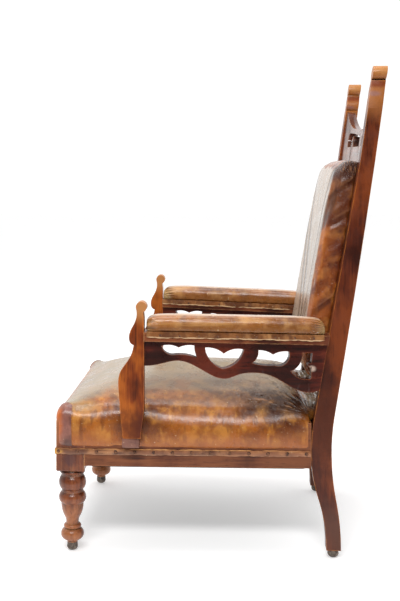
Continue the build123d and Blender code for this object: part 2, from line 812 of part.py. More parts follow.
# Back upholstery: webbing and hessian on the face of the back rails, then the pad
webbing_face = back_rail_setback - glue_gap - webbing_thickness
hessian_face = webbing_face - glue_gap - hessian_thickness
pad_back = hessian_face - clearance
back_cloth_half_width = post_inner_x - clearance
web_start = lower_rail_height / 2
web_rows = 6
web_columns = 4
web_height = back_span - web_start - crest_lap / 2
web_row_pitch = (web_height - webbing_width) / (web_rows - 1)
web_column_pitch = (2 * back_cloth_half_width - webbing_width) / (web_columns - 1)
back_face_plane = Plane(
    origin=back_plane.offset(web_start).origin,
    x_dir=(1, 0, 0),
    z_dir=(0, -(post_knee_z - post_bend_z), back_rake),
)

with BuildPart() as back_webbing:
    with BuildSketch(back_plane.offset(web_start)):
        hollow_strip(webbing_face, webbing_face + webbing_thickness, back_cloth_half_width)
    extrude(amount=web_height)
    with BuildSketch(back_face_plane.offset(overrun)):
        with Locations((0, web_height / 2)):
            with GridLocations(web_column_pitch, web_row_pitch, web_columns - 1, web_rows - 1):
                Rectangle(web_column_pitch - webbing_width, web_row_pitch - webbing_width)
    extrude(amount=-2 * overrun - back_hollow, mode=Mode.SUBTRACT)
back_webbing.part.label = "back_webbing"

with BuildPart() as back_hessian:
    with BuildSketch(back_plane.offset(web_start)):
        hollow_strip(hessian_face, hessian_face + hessian_thickness, back_cloth_half_width)
    extrude(amount=web_height)
back_hessian.part.label = "back_hessian"

back_pad_shares = (
    (0.0, 0.50, 0.50),
    (0.03, 0.78, 0.70),
    (0.10, 0.96, 0.80),
    (0.36, 1.0, 0.82),
    (0.64, 1.0, 0.89),
    (0.80, 1.0, 0.95),
    (0.90, 0.98, 1.0),
    (0.95, 0.90, 0.96),
    (0.985, 0.68, 0.80),
    (1.0, 0.42, 0.55),
)
back_pad_start = (back_pad_bottom_z - lower_rail_z) * knee_lean
back_pad_length = back_span - back_pad_start

with BuildPart() as back_pad:
    for height_share, side_share, crown_share in back_pad_shares:
        side = -side_share * back_pad_side
        crown = -crown_share * back_pad_crown
        with BuildSketch(back_plane.offset(back_pad_start + height_share * back_pad_length)):
            with BuildLine():
                half = back_cloth_half_width
                ThreePointArc((-half, pad_back), (0, pad_back + back_hollow), (half, pad_back))
                Line((half, pad_back), (half, side))
                ThreePointArc((half, side), (0, crown), (-half, side))
                Line((-half, side), (-half, pad_back))
            make_face()
            fillet(vertices().group_by(Axis.Y)[0], back_pad_corner_radius)
    loft()
back_pad.part.label = "back_pad"

# Outside back: a leather cover nailed to the back faces of the crest and lower rails
with BuildPart() as outside_back_cover:
    with BuildSketch(back_plane.offset(lower_rail_height / 4)):
        hollow_strip(cover_face, cover_back, cover_half_width)
    extrude(amount=cover_length)
    bore(crest_nails + lower_rail_nails, nail_shank_radius + glue_gap, cover_nail_length,
         nail_head_height)
outside_back_cover.part.label = "outside_back_cover"

with BuildPart() as back_cover_nails:
    headed_pins(crest_nails + lower_rail_nails, nail_head_radius, nail_head_height,
                nail_shank_radius, cover_nail_length, domed=True)
back_cover_nails.part.label = "back_cover_nails"


# Seat: webbing under the rails, springs, hessian, and the stuffed leather cushion
web_margin = rail_thickness / 3
seat_web_z = rail_bottom_z - glue_gap - webbing_thickness


def seat_plan(inset, front_y, back_y):
    """Plan of the seat frame between two depths, drawn in by an inset."""
    Polygon(
        (rail_x(front_y) - inset, front_y),
        (rail_x(back_y) - inset, back_y),
        (-rail_x(back_y) + inset, back_y),
        (-rail_x(front_y) + inset, front_y),
        align=None,
    )


seat_web_front_y = leg_front_y + web_margin
seat_web_back_y = back_rail_back_y - web_margin
seat_web_length = seat_web_back_y - seat_web_front_y
seat_web_rows = 6
seat_web_columns = 5
seat_row_pitch = (seat_web_length - webbing_width) / (seat_web_rows - 1)
seat_column_pitch = (2 * (post_inner_x - web_margin) - webbing_width) / (seat_web_columns - 1)
leg_hole_side = leg_block_side + 2 * clearance


def leg_and_post_holes(height):
    """Cut the room of the legs' blocks and of the posts out of a cloth."""
    for side in (1, -1):
        with Locations((side * leg_half_spread, leg_axis_y)):
            Rectangle(leg_hole_side, leg_hole_side, mode=Mode.SUBTRACT)
        with Locations((side * post_half_spread, post_face_y + post_seat_depth / 2)):
            Rectangle(post_width + 2 * clearance, post_seat_depth * 2, mode=Mode.SUBTRACT)


with BuildPart() as seat_webbing:
    with BuildSketch(Plane.XY.offset(seat_web_z)):
        seat_plan(web_margin, seat_web_front_y, seat_web_back_y)
        leg_and_post_holes(webbing_thickness)
        with Locations((0, (seat_web_front_y + seat_web_back_y) / 2)):
            with GridLocations(seat_column_pitch, seat_row_pitch,
                               seat_web_columns - 1, seat_web_rows - 1):
                Rectangle(seat_column_pitch - webbing_width, seat_row_pitch - webbing_width,
                          mode=Mode.SUBTRACT)
    extrude(amount=webbing_thickness)
seat_webbing.part.label = "seat_webbing"

with BuildPart() as bottom_cloth:
    with BuildSketch(Plane.XY.offset(seat_web_z - glue_gap - hessian_thickness)):
        seat_plan(web_margin, seat_web_front_y, seat_web_back_y)
        leg_and_post_holes(hessian_thickness)
    extrude(amount=hessian_thickness)
bottom_cloth.part.label = "bottom_cloth"

spring_bottom_z = rail_bottom_z - glue_gap + clearance
spring_height = spring_hessian_z - glue_gap - spring_bottom_z
spring_middle_y = (front_rail_back_y + back_rail_face_y) / 2

with BuildPart() as seat_springs:
    for column in (-1, 0, 1):
        for row in (-1, 0, 1):
            spring_x = column * spring_pitch_x
            spring_y = spring_middle_y + row * spring_pitch_y
            with BuildSketch(Plane(origin=(spring_x, spring_y, spring_bottom_z),
                                   x_dir=(1, 0, 0), z_dir=(0, -1, 0))):
                with BuildLine():
                    Line((0, 0), (spring_radius, 0))
                    ThreePointArc((spring_radius, 0), (spring_waist_radius, spring_height / 2),
                                  (spring_radius, spring_height))
                    Polyline((spring_radius, spring_height), (0, spring_height), (0, 0))
                make_face()
            revolve(axis=Axis((spring_x, spring_y, 0), (0, 0, 1)))
seat_springs.part.label = "seat_springs"

with BuildPart() as spring_hessian:
    with BuildSketch(Plane.XY.offset(spring_hessian_z)):
        seat_plan(edge_roll_width, front_rail_back_y + edge_roll_width - rail_thickness,
                  post_face_y - edge_roll_width / 2)
    extrude(amount=hessian_thickness)
spring_hessian.part.label = "spring_hessian"

# The crown's rows: height, the insets of the front, the sides and the back, and the corners
cushion_shares = (
    (0.0, 0.0, 0.0, 0.0, 1.0),
    (0.15, 0.014, 0.0085, 0.005, 1.3),
    (0.38, 0.069, 0.043, 0.03, 2.0),
    (0.576, 0.19, 0.145, 0.10, 2.6),
    (0.74, 0.386, 0.323, 0.23, 3.0),
    (0.90, 0.64, 0.56, 0.45, 3.0),
    (1.0, 0.857, 0.81, 0.73, 3.0),
)
cushion_front_reach = 350.0   # how far back the crown's top starts from the front
cushion_back_reach = 130.0    # and how far forward it ends from the back
cushion_side_reach = 235.0
crown_height = cushion_crown_z - cushion_bottom_z - cushion_side_height
cushion_front_y = leg_front_y - leather_thickness
cushion_back_y = post_face_y - clearance
corner_room_share = 1.4       # room for a rounded corner, as a share of its radius
side_bow = 1.5                # how far the crown's sides bow out past a straight line
frame_gap = clearance
tongue_side_gap = 2 * clearance
tongue_height = 32.0


def cushion_x(y, side_in):
    """Half width of the cushion: straight beside the leg blocks, then with the rails."""
    return rail_x(max(y, leg_back_y)) + leather_thickness - side_in


def cushion_plan(front_in, side_in, back_in, radius):
    """Plan of the cushion at one height, drawn in by an inset on each side."""
    front_y = cushion_front_y + front_in
    back_y = cushion_back_y - back_in
    bend_y = max(leg_back_y, front_y + radius * corner_room_share)
    left = [(cushion_x(y, side_in), y) for y in (front_y, bend_y, back_y)]
    if bend_y > leg_back_y:
        left[1] = (left[1][0] + side_bow, bend_y)
    right = [(-x, y) for x, y in reversed(left)]
    Polygon(*left, *right, align=None)
    fillet(vertices().group_by(Axis.Y)[0], radius)
    fillet(vertices().group_by(Axis.Y)[-1], radius)


def frame_room(gap):
    """Plan of the legs' blocks and the rails, with a gap all round."""
    Polygon(
        (leg_outer_x + gap, leg_front_y - gap),
        (leg_outer_x + gap, leg_back_y),
        (rail_x(post_face_y) + gap, post_face_y + overrun),
        (-rail_x(post_face_y) - gap, post_face_y + overrun),
        (-leg_outer_x - gap, leg_back_y),
        (-leg_outer_x - gap, leg_front_y - gap),
        align=None,
    )


with BuildPart() as seat_cushion:
    with BuildSketch(Plane.XY.offset(cushion_bottom_z)):
        cushion_plan(0, 0, 0, cushion_corner_radius)
    extrude(amount=cushion_side_height)
    for height_share, front_share, side_share, back_share, corner_share in cushion_shares:
        crown_z = cushion_bottom_z + cushion_side_height + height_share * crown_height
        with BuildSketch(Plane.XY.offset(crown_z)):
            cushion_plan(front_share * cushion_front_reach, side_share * cushion_side_reach,
                         back_share * cushion_back_reach, corner_share * cushion_corner_radius)
    loft()
    # The tongue that runs back between the posts, over the back rail
    with BuildSketch(Plane.XY.offset(rail_top_z + clearance)):
        with Locations((0, (post_face_y + back_rail_back_y) / 2 - cushion_corner_radius / 2)):
            Rectangle(2 * (post_inner_x - tongue_side_gap),
                      back_rail_back_y - post_face_y + cushion_corner_radius)
    extrude(amount=tongue_height)
    # Room for the frame, and for the springs and their hessian
    with BuildSketch(Plane.XY.offset(cushion_bottom_z - clearance)):
        frame_room(frame_gap)
    extrude(amount=rail_top_z - cushion_bottom_z + 2 * clearance, mode=Mode.SUBTRACT)
    with BuildSketch(Plane.XY.offset(rail_top_z)):
        seat_plan(edge_roll_width - clearance,
                  front_rail_back_y + edge_roll_width - rail_thickness - clearance,
                  post_face_y - edge_roll_width / 2 + clearance)
    extrude(amount=spring_hessian_z + hessian_thickness + clearance - rail_top_z,
            mode=Mode.SUBTRACT)
    bore([plane.offset(-support_screw_length) for plane in both_sides(support_screws)],
         screw_shank_radius + clearance, 0, support_screw_length)
seat_cushion.part.label = "seat_cushion"

facing_x = leg_outer_x + leather_thickness + clearance
facing_front_y = cushion_front_y + cushion_corner_radius
facing_back_y = cushion_front_y + facing_width

with BuildPart() as left_corner_facing:
    with BuildSketch(Plane.YZ.offset(facing_x)):
        Polygon(
            (facing_front_y, cushion_bottom_z),
            (facing_back_y, cushion_bottom_z),
            (facing_back_y, cushion_bottom_z + cushion_side_height),
            (facing_front_y, cushion_bottom_z + cushion_side_height),
            align=None,
        )
    extrude(amount=facing_thickness)
left_corner_facing.part.label = "left_corner_facing"
right_corner_facing = twin(left_corner_facing, "right_corner_facing")


# Leather banding over the lower edge of the seat leather, and its nails
with BuildPart() as left_banding:
    with BuildSketch(Plane.XY.offset(banding_z)):
        Polygon(
            (leg_outer_x, leg_front_y),
            (leg_outer_x, leg_back_y),
            (rail_x(post_face_y - clearance), post_face_y - clearance),
            (rail_x(post_face_y - clearance) + banding_thickness, post_face_y - clearance),
            (leg_outer_x + banding_thickness, leg_back_y),
            (leg_outer_x + banding_thickness, leg_front_y),
            align=None,
        )
    extrude(amount=banding_width)
    bore(side_nails + leg_nails, nail_shank_radius + glue_gap, nail_length, nail_head_height)
left_banding.part.label = "left_banding"
right_banding = twin(left_banding, "right_banding")

with BuildPart() as front_banding:
    with BuildSketch(Plane.XY.offset(banding_z)):
        with Locations((0, leg_front_y - banding_thickness / 2)):
            Rectangle(2 * (leg_outer_x + banding_thickness), banding_thickness)
    extrude(amount=banding_width)
    bore(front_nails, nail_shank_radius + glue_gap, nail_length, nail_head_height)
front_banding.part.label = "front_banding"

with BuildPart() as banding_nails:
    headed_pins(both_sides(side_nails + leg_nails) + front_nails, nail_head_radius, nail_head_height,
                nail_shank_radius, nail_length, domed=True)
banding_nails.part.label = "banding_nails"


# Arm supports: sawn from a board, with a knob, a shoulder and a belly
support_lower_shares = (
    (0.18, 0.0), (0.08, 0.188), (0.03, 0.318), (0.0, 0.42), (0.08, 0.487),
    (0.355, 0.563), (0.565, 0.648), (0.60, 0.684),
)
support_upper_shares = (
    (0.60, 0.684), (0.47, 0.70), (0.42, 0.732), (0.48, 0.79), (0.60, 0.832),
    (0.67, 0.862), (0.69, 0.95),
)
support_back_shares = ((0.96, 0.93), (1.0, 0.88), (1.0, 0.205), (0.87, 0.0), (0.18, 0.0))
support_knob_share = (0.895, 0.9606)


def support_place(share):
    return (support_front_y + share[0] * support_depth, support_foot_z + share[1] * support_height)


with BuildPart() as left_arm_support:
    with BuildSketch(Plane.YZ.offset(support_inner_x)):
        with BuildLine():
            Spline([support_place(share) for share in support_lower_shares])
            Spline([support_place(share) for share in support_upper_shares])
            Line(support_place(support_upper_shares[-1]), support_place(support_back_shares[0]))
            Polyline([support_place(share) for share in support_back_shares])
        make_face()
        with Locations(support_place(support_knob_share)):
            Circle(support_knob_radius)
    extrude(amount=support_thickness)
    bore(support_screws[:1], screw_shank_radius + glue_gap, support_screw_length + glue_gap)
    bore([front_dowel], dowel_radius + glue_gap, dowel_reach * 2, glue_gap)
left_arm_support.part.label = "left_arm_support"
right_arm_support = twin(left_arm_support, "right_arm_support")

block_front_y = support_place(support_lower_shares[0])[0]
block_back_y = support_place(support_back_shares[-2])[0]

with BuildPart() as left_arm_block:
    with BuildSketch(Plane.XY.offset(support_foot_z - arm_block_height)):
        Polygon(
            (support_inner_x, block_front_y),
            (support_outer_x, block_front_y),
            (support_outer_x, block_back_y),
            (support_inner_x, block_back_y),
            align=None,
        )
    extrude(amount=arm_block_height)
    bore(support_screws[1:], screw_shank_radius + glue_gap, support_screw_length + glue_gap)
left_arm_block.part.label = "left_arm_block"
right_arm_block = twin(left_arm_block, "right_arm_block")

with BuildPart() as arm_support_screws:
    headed_pins(both_sides(support_screws), screw_head_radius, screw_head_height,
                screw_shank_radius, support_screw_length)
arm_support_screws.part.label = "arm_support_screws"


# Arm rests: a board from each support to its post, both ends cut to the wood they meet
support_back_plane = Plane(origin=(0, support_back_y, 0), x_dir=(1, 0, 0), z_dir=(0, 1, 0))
rest_overlength = arm_rest_width
hem_nail_height = arm_rest_thickness - pad_hem_height / 2
hem_nail_across = arm_rest_width / 2 + clearance + leather_thickness
pad_nails = []
for count in range(pad_nail_count):
    nail_along = arm_length / 2 + (count - (pad_nail_count - 1) / 2) * pad_nail_pitch
    for side in (1, -1):
        pad_nails.append(Plane(
            origin=arm_point(nail_along, side * hem_nail_across, hem_nail_height),
            x_dir=arm_along,
            z_dir=(side * arm_across[0], side * arm_across[1], 0),
        ))
pad_nail_length = clearance + leather_thickness + pad_nail_grip

with BuildPart() as left_arm_rest:
    with BuildSketch(arm_section(-rest_overlength, 0)):
        with Locations((0, rest_middle)):
            Rectangle(arm_rest_width, arm_rest_thickness)
    extrude(amount=-arm_length - 2 * rest_overlength)
    split(bisect_by=support_back_plane, keep=Keep.TOP)
    split(bisect_by=post_face_plane, keep=Keep.TOP)
    bore([front_dowel, back_dowel], dowel_radius + glue_gap, 2 * dowel_reach, glue_gap)
    bore(pad_nails, pad_nail_shank_radius + glue_gap, pad_nail_length + glue_gap)
left_arm_rest.part.label = "left_arm_rest"
right_arm_rest = twin(left_arm_rest, "right_arm_rest")

with BuildPart() as arm_dowels:
    for plane in both_sides([front_dowel, back_dowel]):
        with BuildSketch(plane):
            Circle(dowel_radius)
        extrude(amount=-2 * dowel_reach)
arm_dowels.part.label = "arm_dowels"


# Arm panels: a fretted board under each arm rest, with a heart between leaf shapes
panel_edge_shares = (
    (0.0, 0.517), (0.066, 0.492), (0.186, 0.40), (0.347, 0.644), (0.415, 0.744),
    (0.453, 0.744), (0.521, 0.653), (0.594, 0.615), (0.677, 0.653), (0.785, 0.856),
    (0.875, 0.99), (0.917, 0.99), (1.0, 0.873), (1.1, 0.76),
)
panel_opening_shares = (
    ((0.092, 0.105), (
        ((0.135, 0.08), (0.186, 0.13)),
        ((0.229, 0.08), (0.274, 0.085)),
        ((0.276, 0.22), (0.288, 0.34)),
        ((0.236, 0.285), (0.17, 0.28)),
        ((0.115, 0.235), (0.092, 0.105)),
    )),
    ((0.33, 0.12), (
        ((0.389, 0.145), (0.432, 0.238)),
        ((0.479, 0.148), (0.542, 0.145)),
        ((0.517, 0.36), (0.427, 0.55)),
        ((0.354, 0.36), (0.33, 0.12)),
    )),
    ((0.62, 0.152), (
        ((0.663, 0.17), (0.70, 0.237)),
        ((0.741, 0.174), (0.788, 0.17)),
        ((0.783, 0.356), (0.708, 0.458)),
        ((0.649, 0.462), (0.587, 0.415)),
        ((0.615, 0.30), (0.62, 0.152)),
    )),
    ((0.858, 0.186), (
        (None, (0.915, 0.186)),
        (None, (0.910, 0.40)),
        ((0.892, 0.43), (0.912, 0.47)),
        (None, (0.910, 0.644)),
        ((0.905, 0.715), (0.89, 0.72)),
        ((0.84, 0.695), (0.80, 0.568)),
        ((0.845, 0.424), (0.858, 0.186)),
    )),
)
panel_plane = Plane(
    origin=arm_point(0, arm_panel_thickness / 2, 0),
    x_dir=arm_along,
    z_dir=(arm_across[0], arm_across[1], 0),
)


def panel_place(share):
    """Share of the arm's length, and of the panel's depth below the rest."""
    return (share[0] * arm_length, -share[1] * arm_panel_depth)


with BuildPart() as left_arm_panel:
    with BuildSketch(panel_plane):
        with BuildLine():
            edge = [panel_place(share) for share in panel_edge_shares]
            lead = (-rest_overlength, 0)
            lead_low = (-rest_overlength, edge[0][1])
            tail = (edge[-1][0], 0)
            Spline(edge)
            Polyline(edge[-1], tail, lead, lead_low, edge[0])
        make_face()
        for start_share, runs in panel_opening_shares:
            with BuildLine():
                trace(start_share, runs, panel_place)
            make_face(mode=Mode.SUBTRACT)
    extrude(amount=-arm_panel_thickness)
    split(bisect_by=support_back_plane, keep=Keep.TOP)
    split(bisect_by=post_face_plane, keep=Keep.TOP)
left_arm_panel.part.label = "left_arm_panel"
right_arm_panel = twin(left_arm_panel, "right_arm_panel")


# Arm pads: stuffed leather on the arm rests, crowned, with drawn-in sides and round ends
arm_pad_shares = (
    (0.0, 0.74, 0.42),
    (0.02, 0.90, 0.72),
    (0.06, 0.99, 0.93),
    (0.14, 1.0, 0.99),
    (0.5, 1.0, 1.0),
    (0.86, 1.0, 0.99),
    (0.94, 0.99, 0.93),
    (0.98, 0.90, 0.72),
    (1.0, 0.74, 0.42),
)
pad_foot_share = 0.94
pad_side_share = 0.42
pad_end_gap = 4.0
pad_rest_z = arm_rest_thickness + clearance
hem_height = pad_hem_height + clearance + leather_thickness
hem_middle = pad_rest_z + leather_thickness - hem_height / 2
arm_pad_length = (
    post_front_y(arm_rest_z - arm_drop + arm_rest_thickness) - support_back_y - 2 * pad_end_gap
)

with BuildPart() as left_arm_pad:
    for along_share, width_share, height_share in arm_pad_shares:
        with BuildSketch(arm_section(pad_end_gap + along_share * arm_pad_length, pad_rest_z)):
            with BuildLine():
                half = arm_pad_width * width_share / 2
                top = arm_pad_height * height_share
                waist = top * pad_side_share
                Polyline((-half, waist), (-half * pad_foot_share, 0),
                         (half * pad_foot_share, 0), (half, waist))
                ThreePointArc((half, waist), (0, top), (-half, waist))
            make_face()
    loft()
    # The leather's hem runs down over the sides of the arm rest
    with BuildSketch(arm_section(pad_end_gap, hem_middle)):
        Rectangle(2 * hem_nail_across, hem_height)
    extrude(amount=-arm_pad_length)
    with BuildSketch(arm_section(-overrun, pad_rest_z / 2)):
        Rectangle(arm_rest_width + 2 * clearance, pad_rest_z)
    extrude(amount=-arm_pad_length - 2 * overrun, mode=Mode.SUBTRACT)
    bore(pad_nails, pad_nail_shank_radius + glue_gap, pad_nail_length, pad_nail_head_height)
left_arm_pad.part.label = "left_arm_pad"
right_arm_pad = twin(left_arm_pad, "right_arm_pad")

with BuildPart() as arm_pad_nails:
    headed_pins(both_sides(pad_nails), pad_nail_head_radius, pad_nail_head_height,
                pad_nail_shank_radius, pad_nail_length)
arm_pad_nails.part.label = "arm_pad_nails"


pieces = glides + [
    left_front_leg, right_front_leg, left_back_post, right_back_post,
    front_seat_rail, back_seat_rail, left_seat_rail, right_seat_rail,
    front_left_corner_block, front_right_corner_block,
    back_left_corner_block, back_right_corner_block, corner_block_screws,
    crest_rail, lower_back_rail, back_webbing, back_hessian, back_pad, outside_back_cover,
    seat_webbing, bottom_cloth, seat_springs, spring_hessian, seat_cushion,
    left_corner_facing, right_corner_facing, left_banding, right_banding, front_banding,
    banding_nails, back_cover_nails, left_arm_support, right_arm_support, left_arm_block, right_arm_block,
    arm_support_screws, left_arm_rest, right_arm_rest, arm_dowels, left_arm_panel,
    right_arm_panel, left_arm_pad, right_arm_pad, arm_pad_nails,
]
for piece in pieces:
    export_step(piece.part, f"parts/{piece.part.label}.step")
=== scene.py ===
import bmesh
import bpy
import math
import numpy as np
from mathutils import Matrix, Vector


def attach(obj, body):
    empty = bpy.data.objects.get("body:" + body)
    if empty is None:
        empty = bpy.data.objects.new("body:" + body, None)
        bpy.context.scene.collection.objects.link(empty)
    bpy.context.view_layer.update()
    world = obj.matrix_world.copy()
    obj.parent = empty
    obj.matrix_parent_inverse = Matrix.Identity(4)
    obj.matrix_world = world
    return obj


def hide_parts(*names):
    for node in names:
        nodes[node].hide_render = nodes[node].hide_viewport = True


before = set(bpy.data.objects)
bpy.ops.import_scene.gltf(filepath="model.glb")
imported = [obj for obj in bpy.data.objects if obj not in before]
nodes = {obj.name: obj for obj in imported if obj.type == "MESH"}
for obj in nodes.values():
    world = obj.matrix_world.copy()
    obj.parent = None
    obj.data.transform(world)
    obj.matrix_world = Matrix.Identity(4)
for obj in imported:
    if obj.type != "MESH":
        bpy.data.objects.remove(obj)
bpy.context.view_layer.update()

# The studio
# A white sweep stands in for the photographer's paper, in painted light: it glows bright behind the
# chair and is painted grey and dimmer in front.
# The camera looks square at the chair's left side, from the height of the back pad's top.
photo_width = 400
photo_height = 601
reach_in_pixels = 970
optical_centre = (140, 174.2)
film_height = 24.0
camera_place = (2.6499, 0.035, 0.9328)
camera_yaw = math.radians(-5.539)
X_AXIS, Y_AXIS, Z_AXIS = 0, 1, 2

camera_data = bpy.data.cameras.new("camera")
camera_data.sensor_fit = "VERTICAL"
camera_data.sensor_height = film_height
camera_data.lens = reach_in_pixels / photo_height * film_height
camera_data.shift_x = (photo_width / 2 - optical_centre[0]) / photo_height
camera_data.shift_y = (optical_centre[1] - photo_height / 2) / photo_height
camera_data.clip_end = 50
camera = bpy.data.objects.new("camera", camera_data)
bpy.context.scene.collection.objects.link(camera)
look = Vector((-math.cos(camera_yaw), math.sin(camera_yaw), 0))
right = Vector((look.y, -look.x, 0))
turn = Matrix((right, Vector((0, 0, 1)), -look)).transposed()
camera.matrix_world = Matrix.Translation(camera_place) @ turn.to_4x4()
bpy.context.scene.camera = camera
bpy.context.scene.view_settings.view_transform = "Standard"


def new_material(name, roughness=0.5):
    """A material with one shader, and the node tree that feeds it."""
    material = bpy.data.materials.new(name)
    material.use_nodes = True
    tree = material.node_tree
    shader = tree.nodes["Principled BSDF"]
    shader.inputs["Roughness"].default_value = roughness
    return material, tree, shader


def add_node(tree, kind, settings=None, **inputs):
    """A node with its settings and inputs: a socket is linked, and a value is set."""
    node = tree.nodes.new(kind)
    for key, value in (settings or {}).items():
        setattr(node, key, value)
    for key, value in inputs.items():
        socket = node.inputs[int(key[1:])] if key[0] == "i" and key[1:].isdigit() else node.inputs[key]
        if isinstance(value, bpy.types.NodeSocket):
            tree.links.new(value, socket)
        else:
            socket.default_value = value
    return node


def tone(code):
    """A colour from its six-figure code, as the shader's linear values."""
    parts = [int(code[i:i + 2], 16) / 255 for i in (0, 2, 4)]
    return tuple(c / 12.92 if c < 0.04045 else ((c + 0.055) / 1.055) ** 2.4 for c in parts) + (1,)


def fade(tree, value, start, end, low=0.0, high=1.0):
    """A value that eases from low to high as another goes from start to end."""
    node = add_node(tree, "ShaderNodeMapRange", {"interpolation_type": "SMOOTHSTEP"}, Value=value)
    for key, number in (("From Min", start), ("From Max", end), ("To Min", low), ("To Max", high)):
        node.inputs[key].default_value = number
    return node.outputs[0]


def tint(tree, share, first, second):
    """Two colours mixed by a share."""
    node = add_node(tree, "ShaderNodeMix", {"data_type": "RGBA"})
    for socket, value in ((0, share), (6, first), (7, second)):
        if isinstance(value, bpy.types.NodeSocket):
            tree.links.new(value, node.inputs[socket])
        else:
            node.inputs[socket].default_value = tone(value) if isinstance(value, str) else value
    return node.outputs[2]


def object_place(tree):
    """The place on the object, in metres."""
    return add_node(tree, "ShaderNodeTexCoord").outputs["Object"]


def along_axis(tree, axis):
    """The place along one axis of the object, in metres."""
    return add_node(tree, "ShaderNodeSeparateXYZ", Vector=object_place(tree)).outputs[axis]


def feed(tree, shader, **sockets):
    """Link sockets to the shader's inputs."""
    for key, socket in sockets.items():
        tree.links.new(socket, shader.inputs[key.replace("_", " ")])


floor_size = 40
floor_drop = 0.0005
bright_until = 0.6
dim_from = 1.7
bpy.ops.mesh.primitive_plane_add(size=floor_size, location=(0, 0, -floor_drop))
floor = bpy.context.object
floor.name = "floor"
floor_paper, tree, shader = new_material("floor_paper", 0.8)
shader.inputs["Specular IOR Level"].default_value = 0.1
shader.inputs["Emission Color"].default_value = (1, 1, 1, 1)
nearness = along_axis(tree, X_AXIS)
# Painted light: the paper glows like a lamp behind the chair, and in front it is painted grey and
# barely glows.
paper = tint(tree, fade(tree, nearness, bright_until, dim_from), (0.9, 0.9, 0.9, 1), (0.3, 0.3, 0.3, 1))
glow = fade(tree, nearness, bright_until, dim_from, 0.33, 0.02)
feed(tree, shader, Base_Color=paper, Emission_Strength=glow)
floor.data.materials.append(floor_paper)

world = bpy.data.worlds.new("studio")
bpy.context.scene.world = world
world.use_nodes = True
sky = world.node_tree
sky_way = add_node(sky, "ShaderNodeTexCoord").outputs["Generated"]
sky_side = add_node(sky, "ShaderNodeSeparateXYZ", Vector=sky_way).outputs["X"]
background = sky.nodes["Background"].inputs
sky.links.new(fade(sky, sky_side, -0.30, 0.70, 1.08, 0.14), background["Strength"])
background["Color"].default_value = (1, 1, 1, 1)

light_target = Vector((0, 0, 0.4))


def soft_light(name, place, size, watts):
    """A large oblong light that faces the seat."""
    data = bpy.data.lights.new(name, "AREA")
    data.shape = "RECTANGLE"
    data.size, data.size_y = size
    data.energy = watts
    light = bpy.data.objects.new(name, data)
    light.location = place
    light.rotation_euler = (light_target - Vector(place)).to_track_quat("-Z", "Y").to_euler()
    bpy.context.scene.collection.objects.link(light)


soft_light("key_light", (2.5, -0.25, 2.7), (1.8, 0.6), 75)
soft_light("top_light", (0.3, -0.3, 3.3), (1.4, 1.4), 40)

# Back posts
# Each post is one piece of wood, from its swept foot to the scroll at its top, polished dark red.
# It keeps its CAD shape with eased edges, and is rubbed to orange on its scroll and its edges, where
# the orange is also a painted highlight.


def calc(tree, action, first, *others):
    """A sum on two or more values, from left to right, or on one value alone."""
    for other in others or (0.0,):
        first = add_node(tree, "ShaderNodeMath", {"operation": action}, i0=first, i1=other).outputs[0]
    return first


def plus(tree, *values):
    """Several values added up."""
    return calc(tree, "ADD", *values)


def times(tree, *values):
    """Several values multiplied."""
    return calc(tree, "MULTIPLY", *values)


def cloudy(tree, scale, stretch=(1, 1, 1), detail=4.0, seed=0.0, twist=0.0, rough=0.55):
    """Soft noise over the object, with its features stretched along an axis."""
    mapped = add_node(tree, "ShaderNodeMapping", Vector=object_place(tree), Scale=stretch,
                      Location=(seed, seed, seed)).outputs[0]
    return add_node(tree, "ShaderNodeTexNoise", Vector=mapped, Scale=scale, Detail=detail,
                    Roughness=rough, Distortion=twist).outputs[0]


def bumpy(tree, height, strength, depth):
    """The direction of a surface that small relief roughens."""
    return add_node(tree, "ShaderNodeBump", Height=height, Strength=strength, Distance=depth).outputs[0]


def measure(tree, way, centre=(0, 0, 0)):
    """How far a point lies from a centre in one direction, alike on both sides of the chair."""
    split = add_node(tree, "ShaderNodeSeparateXYZ", Vector=object_place(tree)).outputs
    place = add_node(tree, "ShaderNodeCombineXYZ", X=calc(tree, "ABSOLUTE", split[0]), Y=split[1],
                     Z=split[2]).outputs[0]
    local = add_node(tree, "ShaderNodeVectorMath", {"operation": "SUBTRACT"}, i0=place, i1=centre)
    return add_node(tree, "ShaderNodeVectorMath", {"operation": "DOT_PRODUCT"}, i0=local.outputs[0],
                    i1=tuple(way)).outputs["Value"]


def spot(tree, centre, size, ragged):
    """1 in the middle of a soft place and 0 outside it, alike on both sides of the chair."""
    squares = []
    for way, length in zip(((1, 0, 0), (0, 1, 0), (0, 0, 1)), size):
        part = calc(tree, "DIVIDE", measure(tree, way, centre), length)
        squares.append(times(tree, part, part))
    reach = calc(tree, "SQRT", plus(tree, *squares))
    return fade(tree, plus(tree, reach, times(tree, ragged, 0.8)), 1.5, 0.7)


